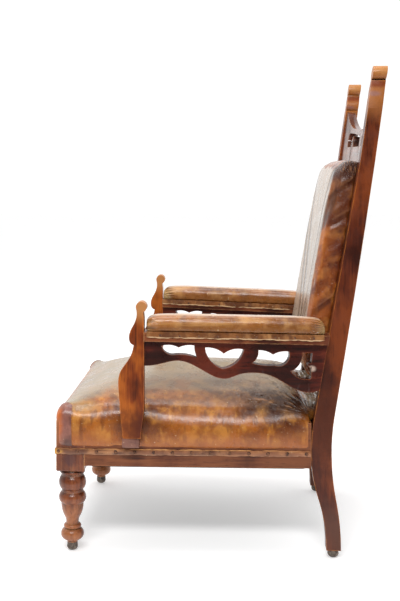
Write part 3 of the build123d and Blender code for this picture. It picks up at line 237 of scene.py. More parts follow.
def wood_finish(name, grain_along, dark, mid, light, worn, seed=0.0, wear=0.6, shine=0.34,
                tip=None, shades=(), polish=0.1, varied=0.55, grime_and_shade_reach=0.014):
    """Polished wood, its grain along one axis, its edges rubbed and painted with a highlight, and its
    corners darkened by grime and painted shade.

    tip is where and to what colour its top is worn, and each of shades is a place, its size,
    its colour and its strength.
    """
    pore_brown = "1e0c08"
    grime_and_shade_brown = "1a0906"
    material, tree, shader = new_material(name)
    stretch = [26.0, 26.0, 26.0]
    stretch[grain_along] = 1.5
    grain = cloudy(tree, 3.0, stretch, 8.0, seed, twist=0.7, rough=0.62)
    pores = cloudy(tree, 16.0, stretch, 3.0, seed, rough=0.6)
    patches = cloudy(tree, 8.0, (1, 1, 0.6), 4.0, seed + 2)
    smears = cloudy(tree, 40.0, (1, 1, 1), 3.0, seed + 4)
    colour = tint(tree, fade(tree, grain, 0.34, 0.52), dark, mid)
    colour = tint(tree, fade(tree, grain, 0.52, 0.72), colour, light)
    colour = tint(tree, fade(tree, patches, 0.46, 0.60, 0.0, varied), colour, light)
    colour = tint(tree, fade(tree, patches, 0.50, 0.34, 0.0, varied + 0.2), colour, dark)
    colour = tint(tree, fade(tree, pores, 0.42, 0.30, 0.0, 0.55), colour, pore_brown)
    if tip:
        start, end, code = tip
        height = plus(tree, along_axis(tree, Z_AXIS), times(tree, patches, 0.06))
        colour = tint(tree, fade(tree, height, start + 0.03, end + 0.03, 0.0, 0.85), colour, code)
    for centre, size, code, strength in shades:
        place = times(tree, spot(tree, centre, size, smears), strength)
        colour = tint(tree, place, colour, code)
    # Edge wear and painted highlight: sharp edges, found by comparing rounded and true normals, turn
    # toward the worn colour.
    rounded = add_node(tree, "ShaderNodeBevel", {"samples": 6}, Radius=0.0045).outputs[0]
    flat = add_node(tree, "ShaderNodeNewGeometry").outputs["Normal"]
    match = add_node(tree, "ShaderNodeVectorMath", {"operation": "DOT_PRODUCT"}, i0=rounded, i1=flat)
    edge_wear_and_highlight = times(tree, fade(tree, match.outputs["Value"], 0.985, 0.86, 0.0, wear),
                fade(tree, smears, 0.38, 0.58, 0.25, 1.0))
    colour = tint(tree, edge_wear_and_highlight, colour, worn)
    # Grime and painted shade: hollows and corners, found by ambient occlusion, turn nearly black.
    open_share = add_node(tree, "ShaderNodeAmbientOcclusion", {"samples": 4, "only_local": True},
                          Distance=grime_and_shade_reach).outputs["AO"]
    colour = tint(tree, fade(tree, open_share, 0.88, 0.42, 0.0, 0.9), colour, grime_and_shade_brown)
    grooves = plus(tree, times(tree, pores, 0.6), times(tree, smears, 0.5))
    feed(tree, shader, Base_Color=colour, Normal=bumpy(tree, grooves, 0.35, 0.0012),
         Roughness=fade(tree, smears, 0.3, 0.7, shine + 0.12, shine - 0.06))
    shader.inputs["Specular IOR Level"].default_value = 0.22
    shader.inputs["Coat Weight"].default_value = polish
    shader.inputs["Coat Roughness"].default_value = 0.20
    return material


def dress(finish, *names, easing=0.0012):
    """Give CAD nodes their finish, with their edges eased a little."""
    for name in names:
        piece = nodes[name]
        for slot in piece.material_slots:
            slot.material = finish
        if not piece.material_slots:
            piece.data.materials.append(finish)
        if easing:
            weld = piece.modifiers.new("weld", "WELD")
            weld.merge_threshold = 1e-5
            ease = piece.modifiers.new("ease", "BEVEL")
            ease.width = easing
            ease.segments = 2
            ease.limit_method = "ANGLE"
            ease.angle_limit = math.radians(35)
            ease.use_clamp_overlap = True


# The top of the scroll is worn pale and painted with a highlight.
scroll_top_worn_and_lit = ((0.25, 0.400, 1.187), (0.05, 0.06, 0.020), "b87e48", 0.9)
# Painted shade: the dark band under the scroll.
scroll_band_painted_shade = ((0.25, 0.380, 1.152), (0.05, 0.06, 0.011), "7a3412", 0.9)
neck_bloom = ((0.25, 0.372, 1.128), (0.05, 0.022, 0.008), "8c625c", 0.7)
# Painted shade on the lower post, beside the seat and under the arm rest.
post_painted_shade_by_seat = ((0.25, 0.24, 0.33), (0.08, 0.10, 0.22), "3c180c", 0.75)
scuffed_foot = ((0.25, 0.30, 0.06), (0.08, 0.12, 0.10), "6e4434", 0.5)
post_wood = wood_finish("post_wood", Z_AXIS, "34130a", "56220f", "7e3c1b", "c07430", wear=0.7,
                        varied=0.8, tip=(1.045, 1.125, "a3632f"),
                        shades=[scroll_top_worn_and_lit, scroll_band_painted_shade, neck_bloom, post_painted_shade_by_seat, scuffed_foot])
dress(post_wood, "left_back_post", "right_back_post")

# Front legs
# Turned legs, each with a square block at its top that is morticed for the seat rails.
# Their polish is paler and glossier than the posts', and worn through on every bead, with a painted
# highlight on the bead edges and painted shade in the grooves.
block_stain = ((0.298, -0.366, 0.232), (0.03, 0.018, 0.022), "46282a", 0.7)
leg_wood = wood_finish("leg_wood", Z_AXIS, "4a2214", "7e4429", "aa6c44", "d49c64", seed=4.0,
                       shine=0.26, varied=0.75, wear=0.8, polish=0.3, shades=[block_stain])
dress(leg_wood, "left_front_leg", "right_front_leg")

# Side rails of the seat
# Plain beech rails, tenoned into the legs and posts, which show as a strip under the banding.
rail_wood = wood_finish("rail_wood", Y_AXIS, "401f14", "6a3a24", "865030", "a86c44", seed=3.0,
                        shine=0.42, varied=0.45)
dress(rail_wood, "left_seat_rail", "right_seat_rail")

# Cross rails
# The pierced crest rail, the lower back rail and the front and back seat rails tie both sides.
# The crest rail has a high polish, and painted shade darkens the inside of its openings.
crest_opening_painted_shade = ((0.125, 0.385, 1.021), (0.075, 0.05, 0.016), "2a120c", 0.85)
cross_wood = wood_finish("cross_wood", X_AXIS, "3e1c12", "6a3624", "8c5a40", "b88862", seed=5.0,
                         polish=1.0, grime_and_shade_reach=0.035, shades=[crest_opening_painted_shade])
dress(cross_wood, "front_seat_rail", "back_seat_rail", "crest_rail", "lower_back_rail")

# Corner blocks and dowels
# Raw beech blocks are screwed across the corners of the seat frame, under the seat.
# Dowels of the same wood join each arm rest to its support and its post.


def metal_finish(name, dark, light, shine, metallic, seed):
    """Old iron: blotched with rust or dust."""
    material, tree, shader = new_material(name)
    blots = cloudy(tree, 160.0, (1, 1, 1), 4.0, seed)
    fine = cloudy(tree, 700.0, (1, 1, 1), 2.0, seed + 1)
    feed(tree, shader, Base_Color=tint(tree, fade(tree, blots, 0.38, 0.62), dark, light),
         Roughness=fade(tree, blots, 0.3, 0.7, shine, shine + 0.2),
         Normal=bumpy(tree, fine, 0.4, 0.0004))
    shader.inputs["Metallic"].default_value = metallic
    return material


block_wood = wood_finish("block_wood", X_AXIS, "6b4a30", "94704c", "b08a60", "c09a70", seed=8.0,
                         shine=0.6)
screw_steel = metal_finish("screw_steel", "4c4a48", "8e8a84", 0.4, 0.8, 85.0)
dress(block_wood, "front_left_corner_block", "front_right_corner_block", "back_left_corner_block",
      "back_right_corner_block", "arm_dowels", easing=0)
dress(screw_steel, "corner_block_screws", easing=0)

# Webbing, springs and hessian
# Jute straps are tacked under the seat rails, the springs stand on them, and hessian is
# stretched over the springs. The back has webbing and hessian too.


def woven_finish(name, dark, light, pitch, seed):
    """Plain woven cloth: two sets of threads, over and under."""
    material, tree, shader = new_material(name, 0.9)
    split = add_node(tree, "ShaderNodeSeparateXYZ", Vector=object_place(tree)).outputs
    depth = plus(tree, split[1], split[2])
    warp = calc(tree, "SINE", times(tree, split[0], 2 * math.pi / pitch))
    weft = calc(tree, "SINE", times(tree, depth, 2 * math.pi / pitch))
    fuzz = cloudy(tree, 500.0, (1, 1, 1), 3.0, seed)
    height = plus(tree, times(tree, warp, weft), fuzz)
    feed(tree, shader, Base_Color=tint(tree, fade(tree, height, -0.4, 1.2), dark, light),
         Normal=bumpy(tree, height, 0.6, 0.0005))
    return material


jute_webbing = woven_finish("jute_webbing", "5c4830", "a88a5c", 0.0022, 87.0)
jute_hessian = woven_finish("jute_hessian", "6b5638", "b89a68", 0.0016, 89.0)
dress(jute_webbing, "seat_webbing", "back_webbing", easing=0)
dress(screw_steel, "seat_springs", easing=0)
dress(jute_hessian, "spring_hessian", "back_hessian", easing=0)

# Seat cushion
# Leather drawn over springs and horsehair: boxed sides roll over into a broad low crown.
# Its skirt covers the seat rails down to the banding, and a tongue of it ends on the back rail.
rail_half = 0.297
rail_taper = 0.032
taper_start = -0.33025
taper_run = 0.552
skirt_gap = 0.0019
seat_front = -0.4022
seat_back = 0.2205
seat_foot = 0.2616
seat_crown = 0.4235
roll_start = 0.330
bulge_depth = 0.0068
rear_gain = 0.0025
ripple = 0.0008
bulge_drop = 0.014
corner_lift = 0.010
ear_height = 0.010
front_round = 0.012
back_round = 0.008
side_steps = [0, 0.0015, 0.003, 0.006, 0.010, 0.016, 0.026, 0.042, 0.076, 0.132, 0.190, 0.30]
side_rises = [0, 0.080, 0.137, 0.208, 0.27, 0.335, 0.415, 0.515, 0.66, 0.82, 0.92, 1.0]
front_steps = [0, 0.003, 0.006, 0.012, 0.022, 0.045, 0.075, 0.135, 0.224, 0.300, 0.60]
front_rises = [0, 0.12, 0.18, 0.26, 0.34, 0.47, 0.61, 0.80, 0.93, 0.985, 1.0]
back_steps = [0, 0.002, 0.008, 0.020, 0.040, 0.065, 0.100, 0.160, 0.250, 0.60]
back_rises = [0, 0.12, 0.30, 0.50, 0.68, 0.80, 0.89, 0.965, 1.0, 1.0]
swell_heights = [0.262, 0.278, 0.294, 0.308, 0.320, 0.331, 0.345, 0.365]
swell_shares = [0, 0.70, 1.0, 0.88, 0.64, 0.38, 0.12, 0]
tongue_centre = (0, 0.2305, 0.3450)
tongue_half = (0.2270, 0.0300, 0.0150)
rails_plan = [(0.2973, -0.40055), (0.2973, -0.33025), (0.2653, 0.22175), (0.2635, 0.30)]
rails_top = 0.3286
sewn_up_to = 0.285
sewn_fade = 0.050
skirt_room = 0.0024
bulge_room = 0.0095
front_room = -0.4027
post_inside = 0.2272
post_front = 0.2212
tongue_end = 0.2609
hessian_plan = [(0.2510, -0.354), (0.2225, 0.198)]
hessian_top = 0.3478


def rail_x(y):
    """Outer face of the left seat rail at the depth y."""
    return rail_half - rail_taper * (np.maximum(y, taper_start) - taper_start) / taper_run


def bell(value, centre, width, power=2):
    """1 at the centre, and down to nothing beyond the width."""
    return np.exp(-((value - centre) / width) ** power)


def spread(share):
    """Crowd an even share from -1 to 1 towards its two ends."""
    return np.sin(share * math.pi / 2)


def wake(piece):
    """Make one object the only one selected, and the active one."""
    bpy.ops.object.select_all(action="DESELECT")
    piece.select_set(True)
    bpy.context.view_layer.objects.active = piece


def points_of(mesh):
    """All points of a mesh, one to a row."""
    points = np.empty(len(mesh.vertices) * 3)
    mesh.vertices.foreach_get("co", points)
    return points.reshape(-1, 3)


def put_points(mesh, points):
    """Move all points of a mesh to new places."""
    mesh.vertices.foreach_set("co", np.ascontiguousarray(points).ravel())
    mesh.update()


def soft_block(name, cuts, place):
    """A closed block of small squares, each point moved to its place on a stuffed form."""
    bpy.ops.object.select_all(action="DESELECT")
    bpy.ops.mesh.primitive_cube_add(size=2)
    block = bpy.context.object
    block.name = name
    bpy.ops.object.mode_set(mode="EDIT")
    bpy.ops.mesh.select_all(action="SELECT")
    bpy.ops.mesh.subdivide(number_cuts=cuts)
    bpy.ops.object.mode_set(mode="OBJECT")
    put_points(block.data, place(*points_of(block.data).T))
    return block


def finish_mesh(piece, smooth):
    """Turn the faces outwards and shade them smooth up to an angle."""
    wake(piece)
    bpy.ops.object.mode_set(mode="EDIT")
    bpy.ops.mesh.select_all(action="SELECT")
    bpy.ops.mesh.remove_doubles(threshold=1e-6)
    bpy.ops.mesh.normals_make_consistent(inside=False)
    bpy.ops.object.mode_set(mode="OBJECT")
    bpy.ops.object.shade_smooth_by_angle(angle=math.radians(smooth))


def apply_modifier(piece, kind, **settings):
    """Add a modifier to a piece and apply it at once."""
    wake(piece)
    modifier = piece.modifiers.new(kind.lower(), kind)
    for key, value in settings.items():
        setattr(modifier, key, value)
    bpy.ops.object.modifier_apply(modifier=modifier.name)


def stuff(piece, voxel, cap, limit=None, smooth=1):
    """Swell a leather form over its stuffing; cap and limit bound how far a point moves."""
    pressure = 4.0
    frames = 20
    sink = 0.0004
    apply_modifier(piece, "REMESH", mode="VOXEL", voxel_size=voxel)
    before = points_of(piece.data)
    outward = np.empty(before.size)
    piece.data.vertices.foreach_get("normal", outward)
    outward = outward.reshape(-1, 3)
    cloth = piece.modifiers.new("swell", "CLOTH")
    cloth.settings.use_pressure = True
    cloth.settings.uniform_pressure_force = pressure
    cloth.settings.effector_weights.gravity = 0
    for count in range(1, frames + 1):
        bpy.context.scene.frame_set(count)
    bpy.ops.object.modifier_apply(modifier="swell")
    bpy.context.scene.frame_set(1)
    move = points_of(piece.data) - before
    swell = np.clip(np.sum(move * outward, axis=1, keepdims=True), -sink, cap)
    after = before + outward * swell
    put_points(piece.data, limit(before, after) if limit else after)
    apply_modifier(piece, "SMOOTH", factor=0.5, iterations=smooth)
    apply_modifier(piece, "SUBSURF", levels=1, render_levels=1)


def blend_rises(*rises):
    """Join rises from several edges into one, rounded where two of them meet."""
    squareness = 3.2
    total = sum((1 - np.clip(rise, 0, 1)) ** squareness for rise in rises)
    return np.clip(1 - total ** (1 / squareness), 0, 1)


def round_plan(x, y, half, edge_y, radius, way):
    """Round a corner of a plan: a square corner's points move onto an arc."""
    side = np.abs(x) - (half - radius)
    end = way * (y - edge_y) + radius
    corner = (side > 0) & (end > 0)
    square = np.maximum(side, end)
    pull = np.where(corner, square / np.maximum(np.hypot(side, end), 1e-9), 1)
    x = np.where(corner, np.sign(x) * (half - radius + side * pull), x)
    y = np.where(corner, edge_y + way * (end * pull - radius), y)
    return x, y


def bulge_share(y):
    """Where along the side the leather bulges: not by the corners nor at the arm support."""
    by_support = bell(y, -0.212, 0.070)
    behind_it = bell(y, -0.03, 0.20, 6)
    before_it = 0.45 * bell(y, -0.31, 0.055, 4)
    return (1 - by_support) * np.maximum(behind_it, before_it)


def seat_place(u, v, w):
    """A point of the cushion: across, from front to back, and up from the skirt."""
    y = seat_front + (spread(v) + 1) / 2 * (seat_back - seat_front)
    half = rail_x(y) + skirt_gap
    x = spread(u) * half
    x, y = round_plan(x, y, half, seat_front, front_round, -1)
    x, y = round_plan(x, y, half, seat_back, back_round, 1)
    side_in = np.maximum(rail_x(y) + skirt_gap - np.abs(x), 0)
    front_in = np.maximum(y - seat_front, 0)
    back_in = np.maximum(seat_back - y, 0)
    rise = blend_rises(np.interp(side_in, side_steps, side_rises),
                       np.interp(front_in, front_steps, front_rises),
                       np.interp(back_in, back_steps, back_rises))
    bulge = bulge_share(y)
    ear = np.exp(-((side_in - 0.020) / 0.028) ** 2 - ((front_in - 0.020) / 0.025) ** 2)
    edge = roll_start - bulge_drop * bulge
    edge = edge + corner_lift * bell(front_in, 0, 0.05) * (0.2 + 0.8 * bell(side_in, 0, 0.09))
    edge = edge + corner_lift * bell(back_in, 0, 0.03)
    top = edge + (seat_crown - edge) * rise + ear_height * ear
    z = seat_foot + (w + 1) / 2 * (top - seat_foot)
    swell = np.interp(z, swell_heights, swell_shares)
    full = bulge_depth + rear_gain * np.clip((y + 0.15) / 0.3, 0, 1)
    full = full + ripple * np.sin(y * 105 + z * 30)
    x = x + np.sign(x) * full * bulge * swell * bell(side_in, 0, 0.030)
    return np.stack([x, y, z], axis=1)


def tongue_place(u, v, w):
    """The tongue that runs back between the posts."""
    return np.stack([u, v, w], axis=1) * tongue_half + tongue_centre


def seat_limit(before, after):
    """Hold the leather off the arm supports, the posts and the banding."""
    y = after[:, 1]
    sewn = np.clip((before[:, 2:] - sewn_up_to) / sewn_fade, 0, 1)
    held = before + (after - before) * sewn
    walls = np.abs(before[:, 0]) > rail_x(before[:, 1]) + 0.0004
    outer = np.sign(before[:, 0]) * np.maximum(np.abs(held[:, 0]), np.abs(before[:, 0]))
    room = rail_x(y) + skirt_room + bulge_room * bulge_share(y)
    held[:, 0] = np.clip(np.where(walls, outer, held[:, 0]), -room, room)
    rearmost = np.where(np.abs(held[:, 0]) > post_inside, post_front, tongue_end)
    held[:, 1] = np.clip(y, front_room, rearmost)
    held[:, 2] = np.maximum(held[:, 2], before[:, 2].min())
    return held


def cut_room(piece, outline, low, high):
    """Cut a room with a flat top out of a piece, from its plan on the left of the chair."""
    mesh = bpy.data.meshes.new("room")
    ring = outline + [(-x, y) for x, y in reversed(outline)]
    room = bmesh.new()
    low_ring = [room.verts.new((x, y, low)) for x, y in ring]
    high_ring = [room.verts.new((x, y, high)) for x, y in ring]
    room.faces.new(low_ring)
    room.faces.new(high_ring)
    for count in range(len(ring)):
        after = (count + 1) % len(ring)
        room.faces.new((low_ring[count], low_ring[after], high_ring[after], high_ring[count]))
    bmesh.ops.recalc_face_normals(room, faces=room.faces)
    room.to_mesh(mesh)
    room.free()
    cutter = bpy.data.objects.new("room", mesh)
    bpy.context.scene.collection.objects.link(cutter)
    apply_modifier(piece, "BOOLEAN", operation="DIFFERENCE", solver="EXACT", object=cutter)
    bpy.data.objects.remove(cutter)


def leather_finish(name, deep, mid, pale, stretch=(1, 1, 1), seed=0.0, shine=0.40, painted_reflection_faces=(),
                   shades=(), folds=None, wear=0.5, streaky=0.5, low=None, coat=0.5, frayed=None):
    """Old amber hide, darkened by hands and polish, mottled and finely cracked.

    low is where and to what colour it turns towards its foot; faces that turn one way are painted pale,
    a painted reflection and highlight; shades are places of another colour, and frayed is a line of raw
    edge. A shade of nearly full strength takes the polish off too.
    """
    material, tree, shader = new_material(name)
    mottle = cloudy(tree, 9.0, (1, 1, 1), 4.0, seed, 0.4)
    blots = cloudy(tree, 26.0, (1, 1, 1), 4.0, seed + 1)
    streaks = cloudy(tree, 46.0, stretch, 3.0, seed + 2)
    grain = cloudy(tree, 420.0, (1, 1, 1), 2.0, seed + 3)
    specks = cloudy(tree, 150.0, (1, 1, 1), 3.0, seed + 6)
    cracks = add_node(tree, "ShaderNodeTexVoronoi", {"feature": "DISTANCE_TO_EDGE"}, Scale=190.0,
                      Vector=object_place(tree)).outputs["Distance"]
    colour = tint(tree, fade(tree, mottle, 0.36, 0.62), deep, mid)
    colour = tint(tree, fade(tree, blots, 0.46, 0.68, 0.0, 0.55), colour, pale)
    colour = tint(tree, fade(tree, streaks, 0.48, 0.34, 0.0, streaky), colour, deep)
    colour = tint(tree, fade(tree, streaks, 0.55, 0.70, 0.0, streaky), colour, pale)
    if low:
        start, end, code = low
        height = plus(tree, along_axis(tree, Z_AXIS), times(tree, blots, 0.03))
        colour = tint(tree, fade(tree, height, start + 0.015, end + 0.015, 0.0, 0.8), colour, code)
    # Painted reflection and highlight: faces turned one way are painted pale.
    for axis, sign, code, start in painted_reflection_faces:
        normal = add_node(tree, "ShaderNodeNewGeometry").outputs["Normal"]
        facing = add_node(tree, "ShaderNodeSeparateXYZ", Vector=normal).outputs
        share = plus(tree, times(tree, facing[axis], sign),
                     times(tree, calc(tree, "ABSOLUTE", facing[X_AXIS]), -0.25),
                     times(tree, blots, 0.1))
        colour = tint(tree, fade(tree, share, start, start + 0.2, 0.0, 0.85), colour, code)
    shader.inputs["Coat Weight"].default_value = coat
    for centre, size, code, strength in shades:
        place = times(tree, spot(tree, centre, size, blots), strength)
        colour = tint(tree, place, colour, code)
        if strength > 0.94:
            feed(tree, shader, Coat_Weight=fade(tree, place, 0.0, 0.9, coat, 0.0))
    if frayed:
        centre, way, width, code = frayed
        waver = times(tree, calc(tree, "SUBTRACT", streaks, 0.5), 0.008)
        line = calc(tree, "ABSOLUTE", calc(tree, "SUBTRACT", measure(tree, way, centre), waver))
        colour = tint(tree, fade(tree, line, width, width * 0.4, 0.0, 0.85), colour, code)
    colour = tint(tree, fade(tree, specks, 0.66, 0.76, 0.0, wear), colour, "e0c49a")
    colour = tint(tree, fade(tree, specks, 0.36, 0.28, 0.0, 0.45), colour, "3a2010")
    relief = plus(tree, times(tree, streaks, 1.6), times(tree, blots, 1.2),
                  times(tree, fade(tree, cracks, 0.0, 0.10), 0.13), times(tree, grain, 0.10))
    if folds:
        lines = folds(tree)
        relief = plus(tree, relief, times(tree, lines, 2.4))
        # Painted shade in the creases' hollows and painted highlight on their ridges.
        colour = tint(tree, fade(tree, lines, -0.2, -1.0, 0.0, 0.55), colour, "341a0c")
        colour = tint(tree, fade(tree, lines, 0.3, 1.0, 0.0, 0.30), colour, "cc9468")
    feed(tree, shader, Base_Color=colour, Normal=bumpy(tree, relief, 0.55, 0.0020),
         Roughness=fade(tree, blots, 0.35, 0.65, shine - 0.08, shine + 0.10),
         Coat_Normal=bumpy(tree, relief, 0.25, 0.0012))
    shader.inputs["Coat Roughness"].default_value = 0.26
    shader.inputs["Specular IOR Level"].default_value = 0.28
    return material


def cover_with(piece, finish):
    """Give a made piece its finish, in place of any that it has."""
    piece.data.materials.clear()
    piece.data.materials.append(finish)


def seat_folds(tree):
    """Creases that fan forwards and up from each back corner of the seat."""
    back_corner = (0.262, 0.222, 0.350)
    ahead = measure(tree, (0, -1, 0), back_corner)
    above = measure(tree, (-0.45, 0, 1), back_corner)
    angle = calc(tree, "ARCTAN2", above, ahead)
    reach = calc(tree, "SQRT", plus(tree, times(tree, ahead, ahead), times(tree, above, above)))
    stray = times(tree, cloudy(tree, 16.0, (1, 1, 1), 3.0, 31.0), 9.0)
    wave = calc(tree, "SINE", plus(tree, times(tree, angle, 30.0), stray))
    held = times(tree, fade(tree, reach, 0.32, 0.08), fade(tree, angle, 0.05, 0.3))
    uneven = fade(tree, cloudy(tree, 30.0, (1, 1, 1), 2.0, 37.0), 0.42, 0.62)
    return times(tree, wave, held, uneven)


# Painted shadow at the back of the seat by the post, where the polish is also taken off.
seat_rear_painted_shadow = ((0.275, 0.185, 0.375), (0.12, 0.20, 0.050), "2a1206", 0.95)
# Painted highlight on the seat's side in front of the arm support.
seat_front_painted_highlight = ((0.29, -0.335, 0.362), (0.05, 0.05, 0.020), "b8985c", 0.4)
grey_crown = ((0.20, -0.02, 0.41), (0.12, 0.22, 0.05), "6e563c", 0.3)
# Painted shade on the seat's shoulder, between its top and the side's highlight.
seat_shoulder_painted_shade = ((0.245, -0.02, 0.372), (0.05, 0.20, 0.018), "6c441c", 0.5)
# The seat's top is painted pale grey: a painted reflection of the bright surroundings.
seat_leather = leather_finish(
    "seat_leather", "5a2a0c", "a45c18", "cc8a36", stretch=(1, 1, 0.30), seed=1.0, shine=0.32,
    painted_reflection_faces=[(Z_AXIS, 1, "9e9078", 0.82)], low=(0.325, seat_foot, "a0561a"), folds=seat_folds,
    streaky=0.6, shades=[seat_rear_painted_shadow, seat_front_painted_highlight, grey_crown, seat_shoulder_painted_shade])
cushion = soft_block("seat_leather_cushion", 70, seat_place)
tongue = soft_block("seat_tongue", 12, tongue_place)
tongue.select_set(True)
cushion.select_set(True)
bpy.context.view_layer.objects.active = cushion
bpy.ops.object.join()
stuff(cushion, 0.0072, 0.0014, seat_limit, smooth=5)
cut_room(cushion, rails_plan, 0.20, rails_top)
cut_room(cushion, hessian_plan, 0.32, hessian_top)
finish_mesh(cushion, 50)
cover_with(cushion, seat_leather)
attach(cushion, "root")
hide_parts("seat_cushion")

# Corner facings
# A panel of leather on each front corner of the seat, lapped over the side and stitched.
# Its back seam is dry and split, and its front edge is worn orange.
both_sides = ((1, "left"), (-1, "right"))
facing_back = -0.3560
facing_inside = 0.272
facing_top = 0.3640
facing_foot = 0.2625
facing_front = -0.4000
facing_lift = 0.0003
facing_thickness = 0.0016


def second_skin(source, name, cuts, lift, thickness):
    """A second skin over part of a stuffed piece; each cut keeps one side of a plane."""
    wake(source)
    bpy.ops.object.duplicate()
    skin = bpy.context.object
    skin.name = name
    bpy.ops.object.mode_set(mode="EDIT")
    for place, way in cuts:
        bpy.ops.mesh.select_all(action="SELECT")
        bpy.ops.mesh.bisect(plane_co=place, plane_no=way, clear_outer=True)
    bpy.ops.mesh.select_all(action="SELECT")
    bpy.ops.transform.shrink_fatten(value=lift)
    bpy.ops.object.mode_set(mode="OBJECT")
    apply_modifier(skin, "SOLIDIFY", thickness=thickness, offset=1.0)
    finish_mesh(skin, 50)
    return skin


worn_front = ((0.298, -0.404, 0.325), (0.03, 0.024, 0.10), "c4682a", 0.9)
split_seam = ((0.298, -0.3565, 0.292), (0.03, 0.0060, 0.05), "ead8b8", 0.9)
facing_leather = leather_finish("facing_leather", "58332a", "824f44", "a87460", stretch=(1, 1, 0.4),
                                seed=41.0, shine=0.34, shades=[worn_front, split_seam])
for side, word in both_sides:
    cuts = [((0, facing_back, 0), (0, 1, 0.02)), ((side * facing_inside, 0, 0), (-side, 0, 0)),
            ((0, -0.3900, facing_top), (0, -0.45, 0.9)), ((0, -0.37, facing_top), (0, 0.35, 1)),
            ((0, 0, facing_foot), (0, 0, -1)), ((0, facing_front, 0), (0, -1, 0))]
    facing = second_skin(cushion, word + "_seat_facing", cuts, facing_lift,
                         facing_thickness)
    cover_with(facing, facing_leather)
    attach(facing, "root")
    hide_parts(word + "_corner_facing")

# Banding and its nails
# A narrow strip of leather over the seat leather's lower edge, held by domed iron nails.
# It puckers in at each nail, its edges are rubbed pale, and it is frayed at the front corner.
band_height = 0.2535
band_half = 0.0070
band_length = 0.6215
band_start = -0.40025
band_rest = 0.0002
band_lift = 0.0021
band_crown = 0.0006
pucker_depth = 0.0007
pucker_reach = 0.012
front_band_half = 0.2996
front_nail_pitch = 0.04767
nail_share = [0.0063, 0.0532]
for count in range(12):
    nail_share.append(0.1 + 0.04636 * count)


def band_wave(along, up):
    """How far the strip stands off the wood: it is drawn in at each nail."""
    pucker = np.min([np.abs(along - place) for place in nail_share], axis=0)
    drawn_in = pucker_depth * np.clip(pucker / pucker_reach, 0, 1) * (1 - 0.6 * up ** 2)
    return drawn_in + 0.0002 * np.sin(along * 240)


def side_band_place(side):
    """One side strip: along from the front corner to the post, up, and through its thickness."""
    def place(u, v, w):
        y = band_start + (v + 1) / 2 * band_length
        along = y - band_start
        ragged = 0.0004 * np.sin(along * 310) + 0.0005 * np.sin(along * 97 + 1)
        frayed = 0.0014 * bell(along, 0, 0.02) * np.sin(along * 900)
        half = band_half + 0.0004 * np.sin(along * 61)
        z = band_height + w * half + ragged * np.abs(w) + frayed * np.abs(w)
        out = np.where(u > 0, band_lift + band_wave(along, w) + band_crown * (1 - w ** 2), band_rest)
        return np.stack([side * (rail_x(y) + out), y, z], axis=1)
    return place


def front_band_place(u, v, w):
    """The front strip, from corner to corner."""
    x = v * front_band_half
    between = np.abs(np.mod(x + 0.286, front_nail_pitch) - 0.02383)
    pucker = np.clip((0.02383 - between) / pucker_reach, 0, 1)
    z = band_height + w * band_half + 0.0005 * np.sin(x * 120) * np.abs(w)
    out = np.where(u > 0, band_lift + pucker_depth * pucker + band_crown * (1 - w ** 2), band_rest)
    return np.stack([x, band_start - out, z], axis=1)


def long_strip(name, cuts, place):
    """A thin strip: a bar cut across many times, then shaped."""
    bpy.ops.object.select_all(action="DESELECT")
    bpy.ops.mesh.primitive_cube_add(size=2)
    strip = bpy.context.object
    strip.name = name
    bpy.ops.object.mode_set(mode="EDIT")
    for way, count in ((Y_AXIS, cuts), (Z_AXIS, 6)):
        for step in range(1, count):
            bpy.ops.mesh.select_all(action="SELECT")
            centre = [0, 0, 0]
            centre[way] = -1 + 2 * step / count
            normal = [0, 0, 0]
            normal[way] = 1
            bpy.ops.mesh.bisect(plane_co=centre, plane_no=normal)
    bpy.ops.object.mode_set(mode="OBJECT")
    put_points(strip.data, place(*points_of(strip.data).T))
    finish_mesh(strip, 50)
    return strip


frayed_corner = ((0.298, -0.400, 0.252), (0.03, 0.022, 0.009), "d89c44", 0.85)
rubbed_top_edge = ((0.285, -0.1, 0.2605), (0.05, 0.40, 0.0014), "d69a5c", 0.95)
rubbed_low_edge = ((0.285, -0.1, 0.2470), (0.05, 0.40, 0.0012), "c09068", 0.5)
band_leather = leather_finish(
    "band_leather", "58301e", "905a38", "b47c50", stretch=(1, 0.25, 1.4), seed=51.0, shine=0.5,
    wear=0.6, streaky=0.7, shades=[frayed_corner, rubbed_top_edge, rubbed_low_edge])
for name, cuts, place, node in (
        ("left_seat_band", 130, side_band_place(1), "left_banding"),
        ("right_seat_band", 130, side_band_place(-1), "right_banding"),
        ("front_seat_band", 100, front_band_place, "front_banding")):
    band = long_strip(name, cuts, place)
    cover_with(band, band_leather)
    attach(band, "root")
    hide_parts(node)
nail_iron = metal_finish("nail_iron", "44291c", "7c5036", 0.55, 0.15, 81.0)
dress(nail_iron, "banding_nails", easing=0)

# Arm blocks
# A wooden block under the foot of each arm support, covered in leather tucked under its ends.
block_centre = (0.3098, -0.21385, 0.2835)
block_half = (0.0147, 0.0209, 0.0112)


def block_place(side):
    """The block's shape, with eased corners and a slightly hollow top edge."""
    def place(u, v, w):
        round_in = 1 - 0.035 * (np.abs(u * w) ** 6 + np.abs(v * w) ** 6) - 0.02 * np.abs(u * v) ** 6
        x = block_centre[0] + u * block_half[0] * round_in
        y = block_centre[1] + v * block_half[1] * round_in + 0.0004 * np.sin(w * 5)
        z = block_centre[2] + w * block_half[2] * round_in
        return np.stack([side * x, y, z], axis=1)
    return place


rubbed_top = ((0.31, -0.213, 0.296), (0.05, 0.05, 0.002), "b89070", 0.8)
block_leather = leather_finish("block_leather", "50302a", "70463a", "8c5e4e", stretch=(0.4, 0.4, 1),
                               seed=61.0, shine=0.45, shades=[rubbed_top])
for side, word in both_sides:
    block = soft_block(word + "_leather_block", 14, block_place(side))
    finish_mesh(block, 45)
    cover_with(block, block_leather)
    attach(block, "root")
    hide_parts(word + "_arm_block")

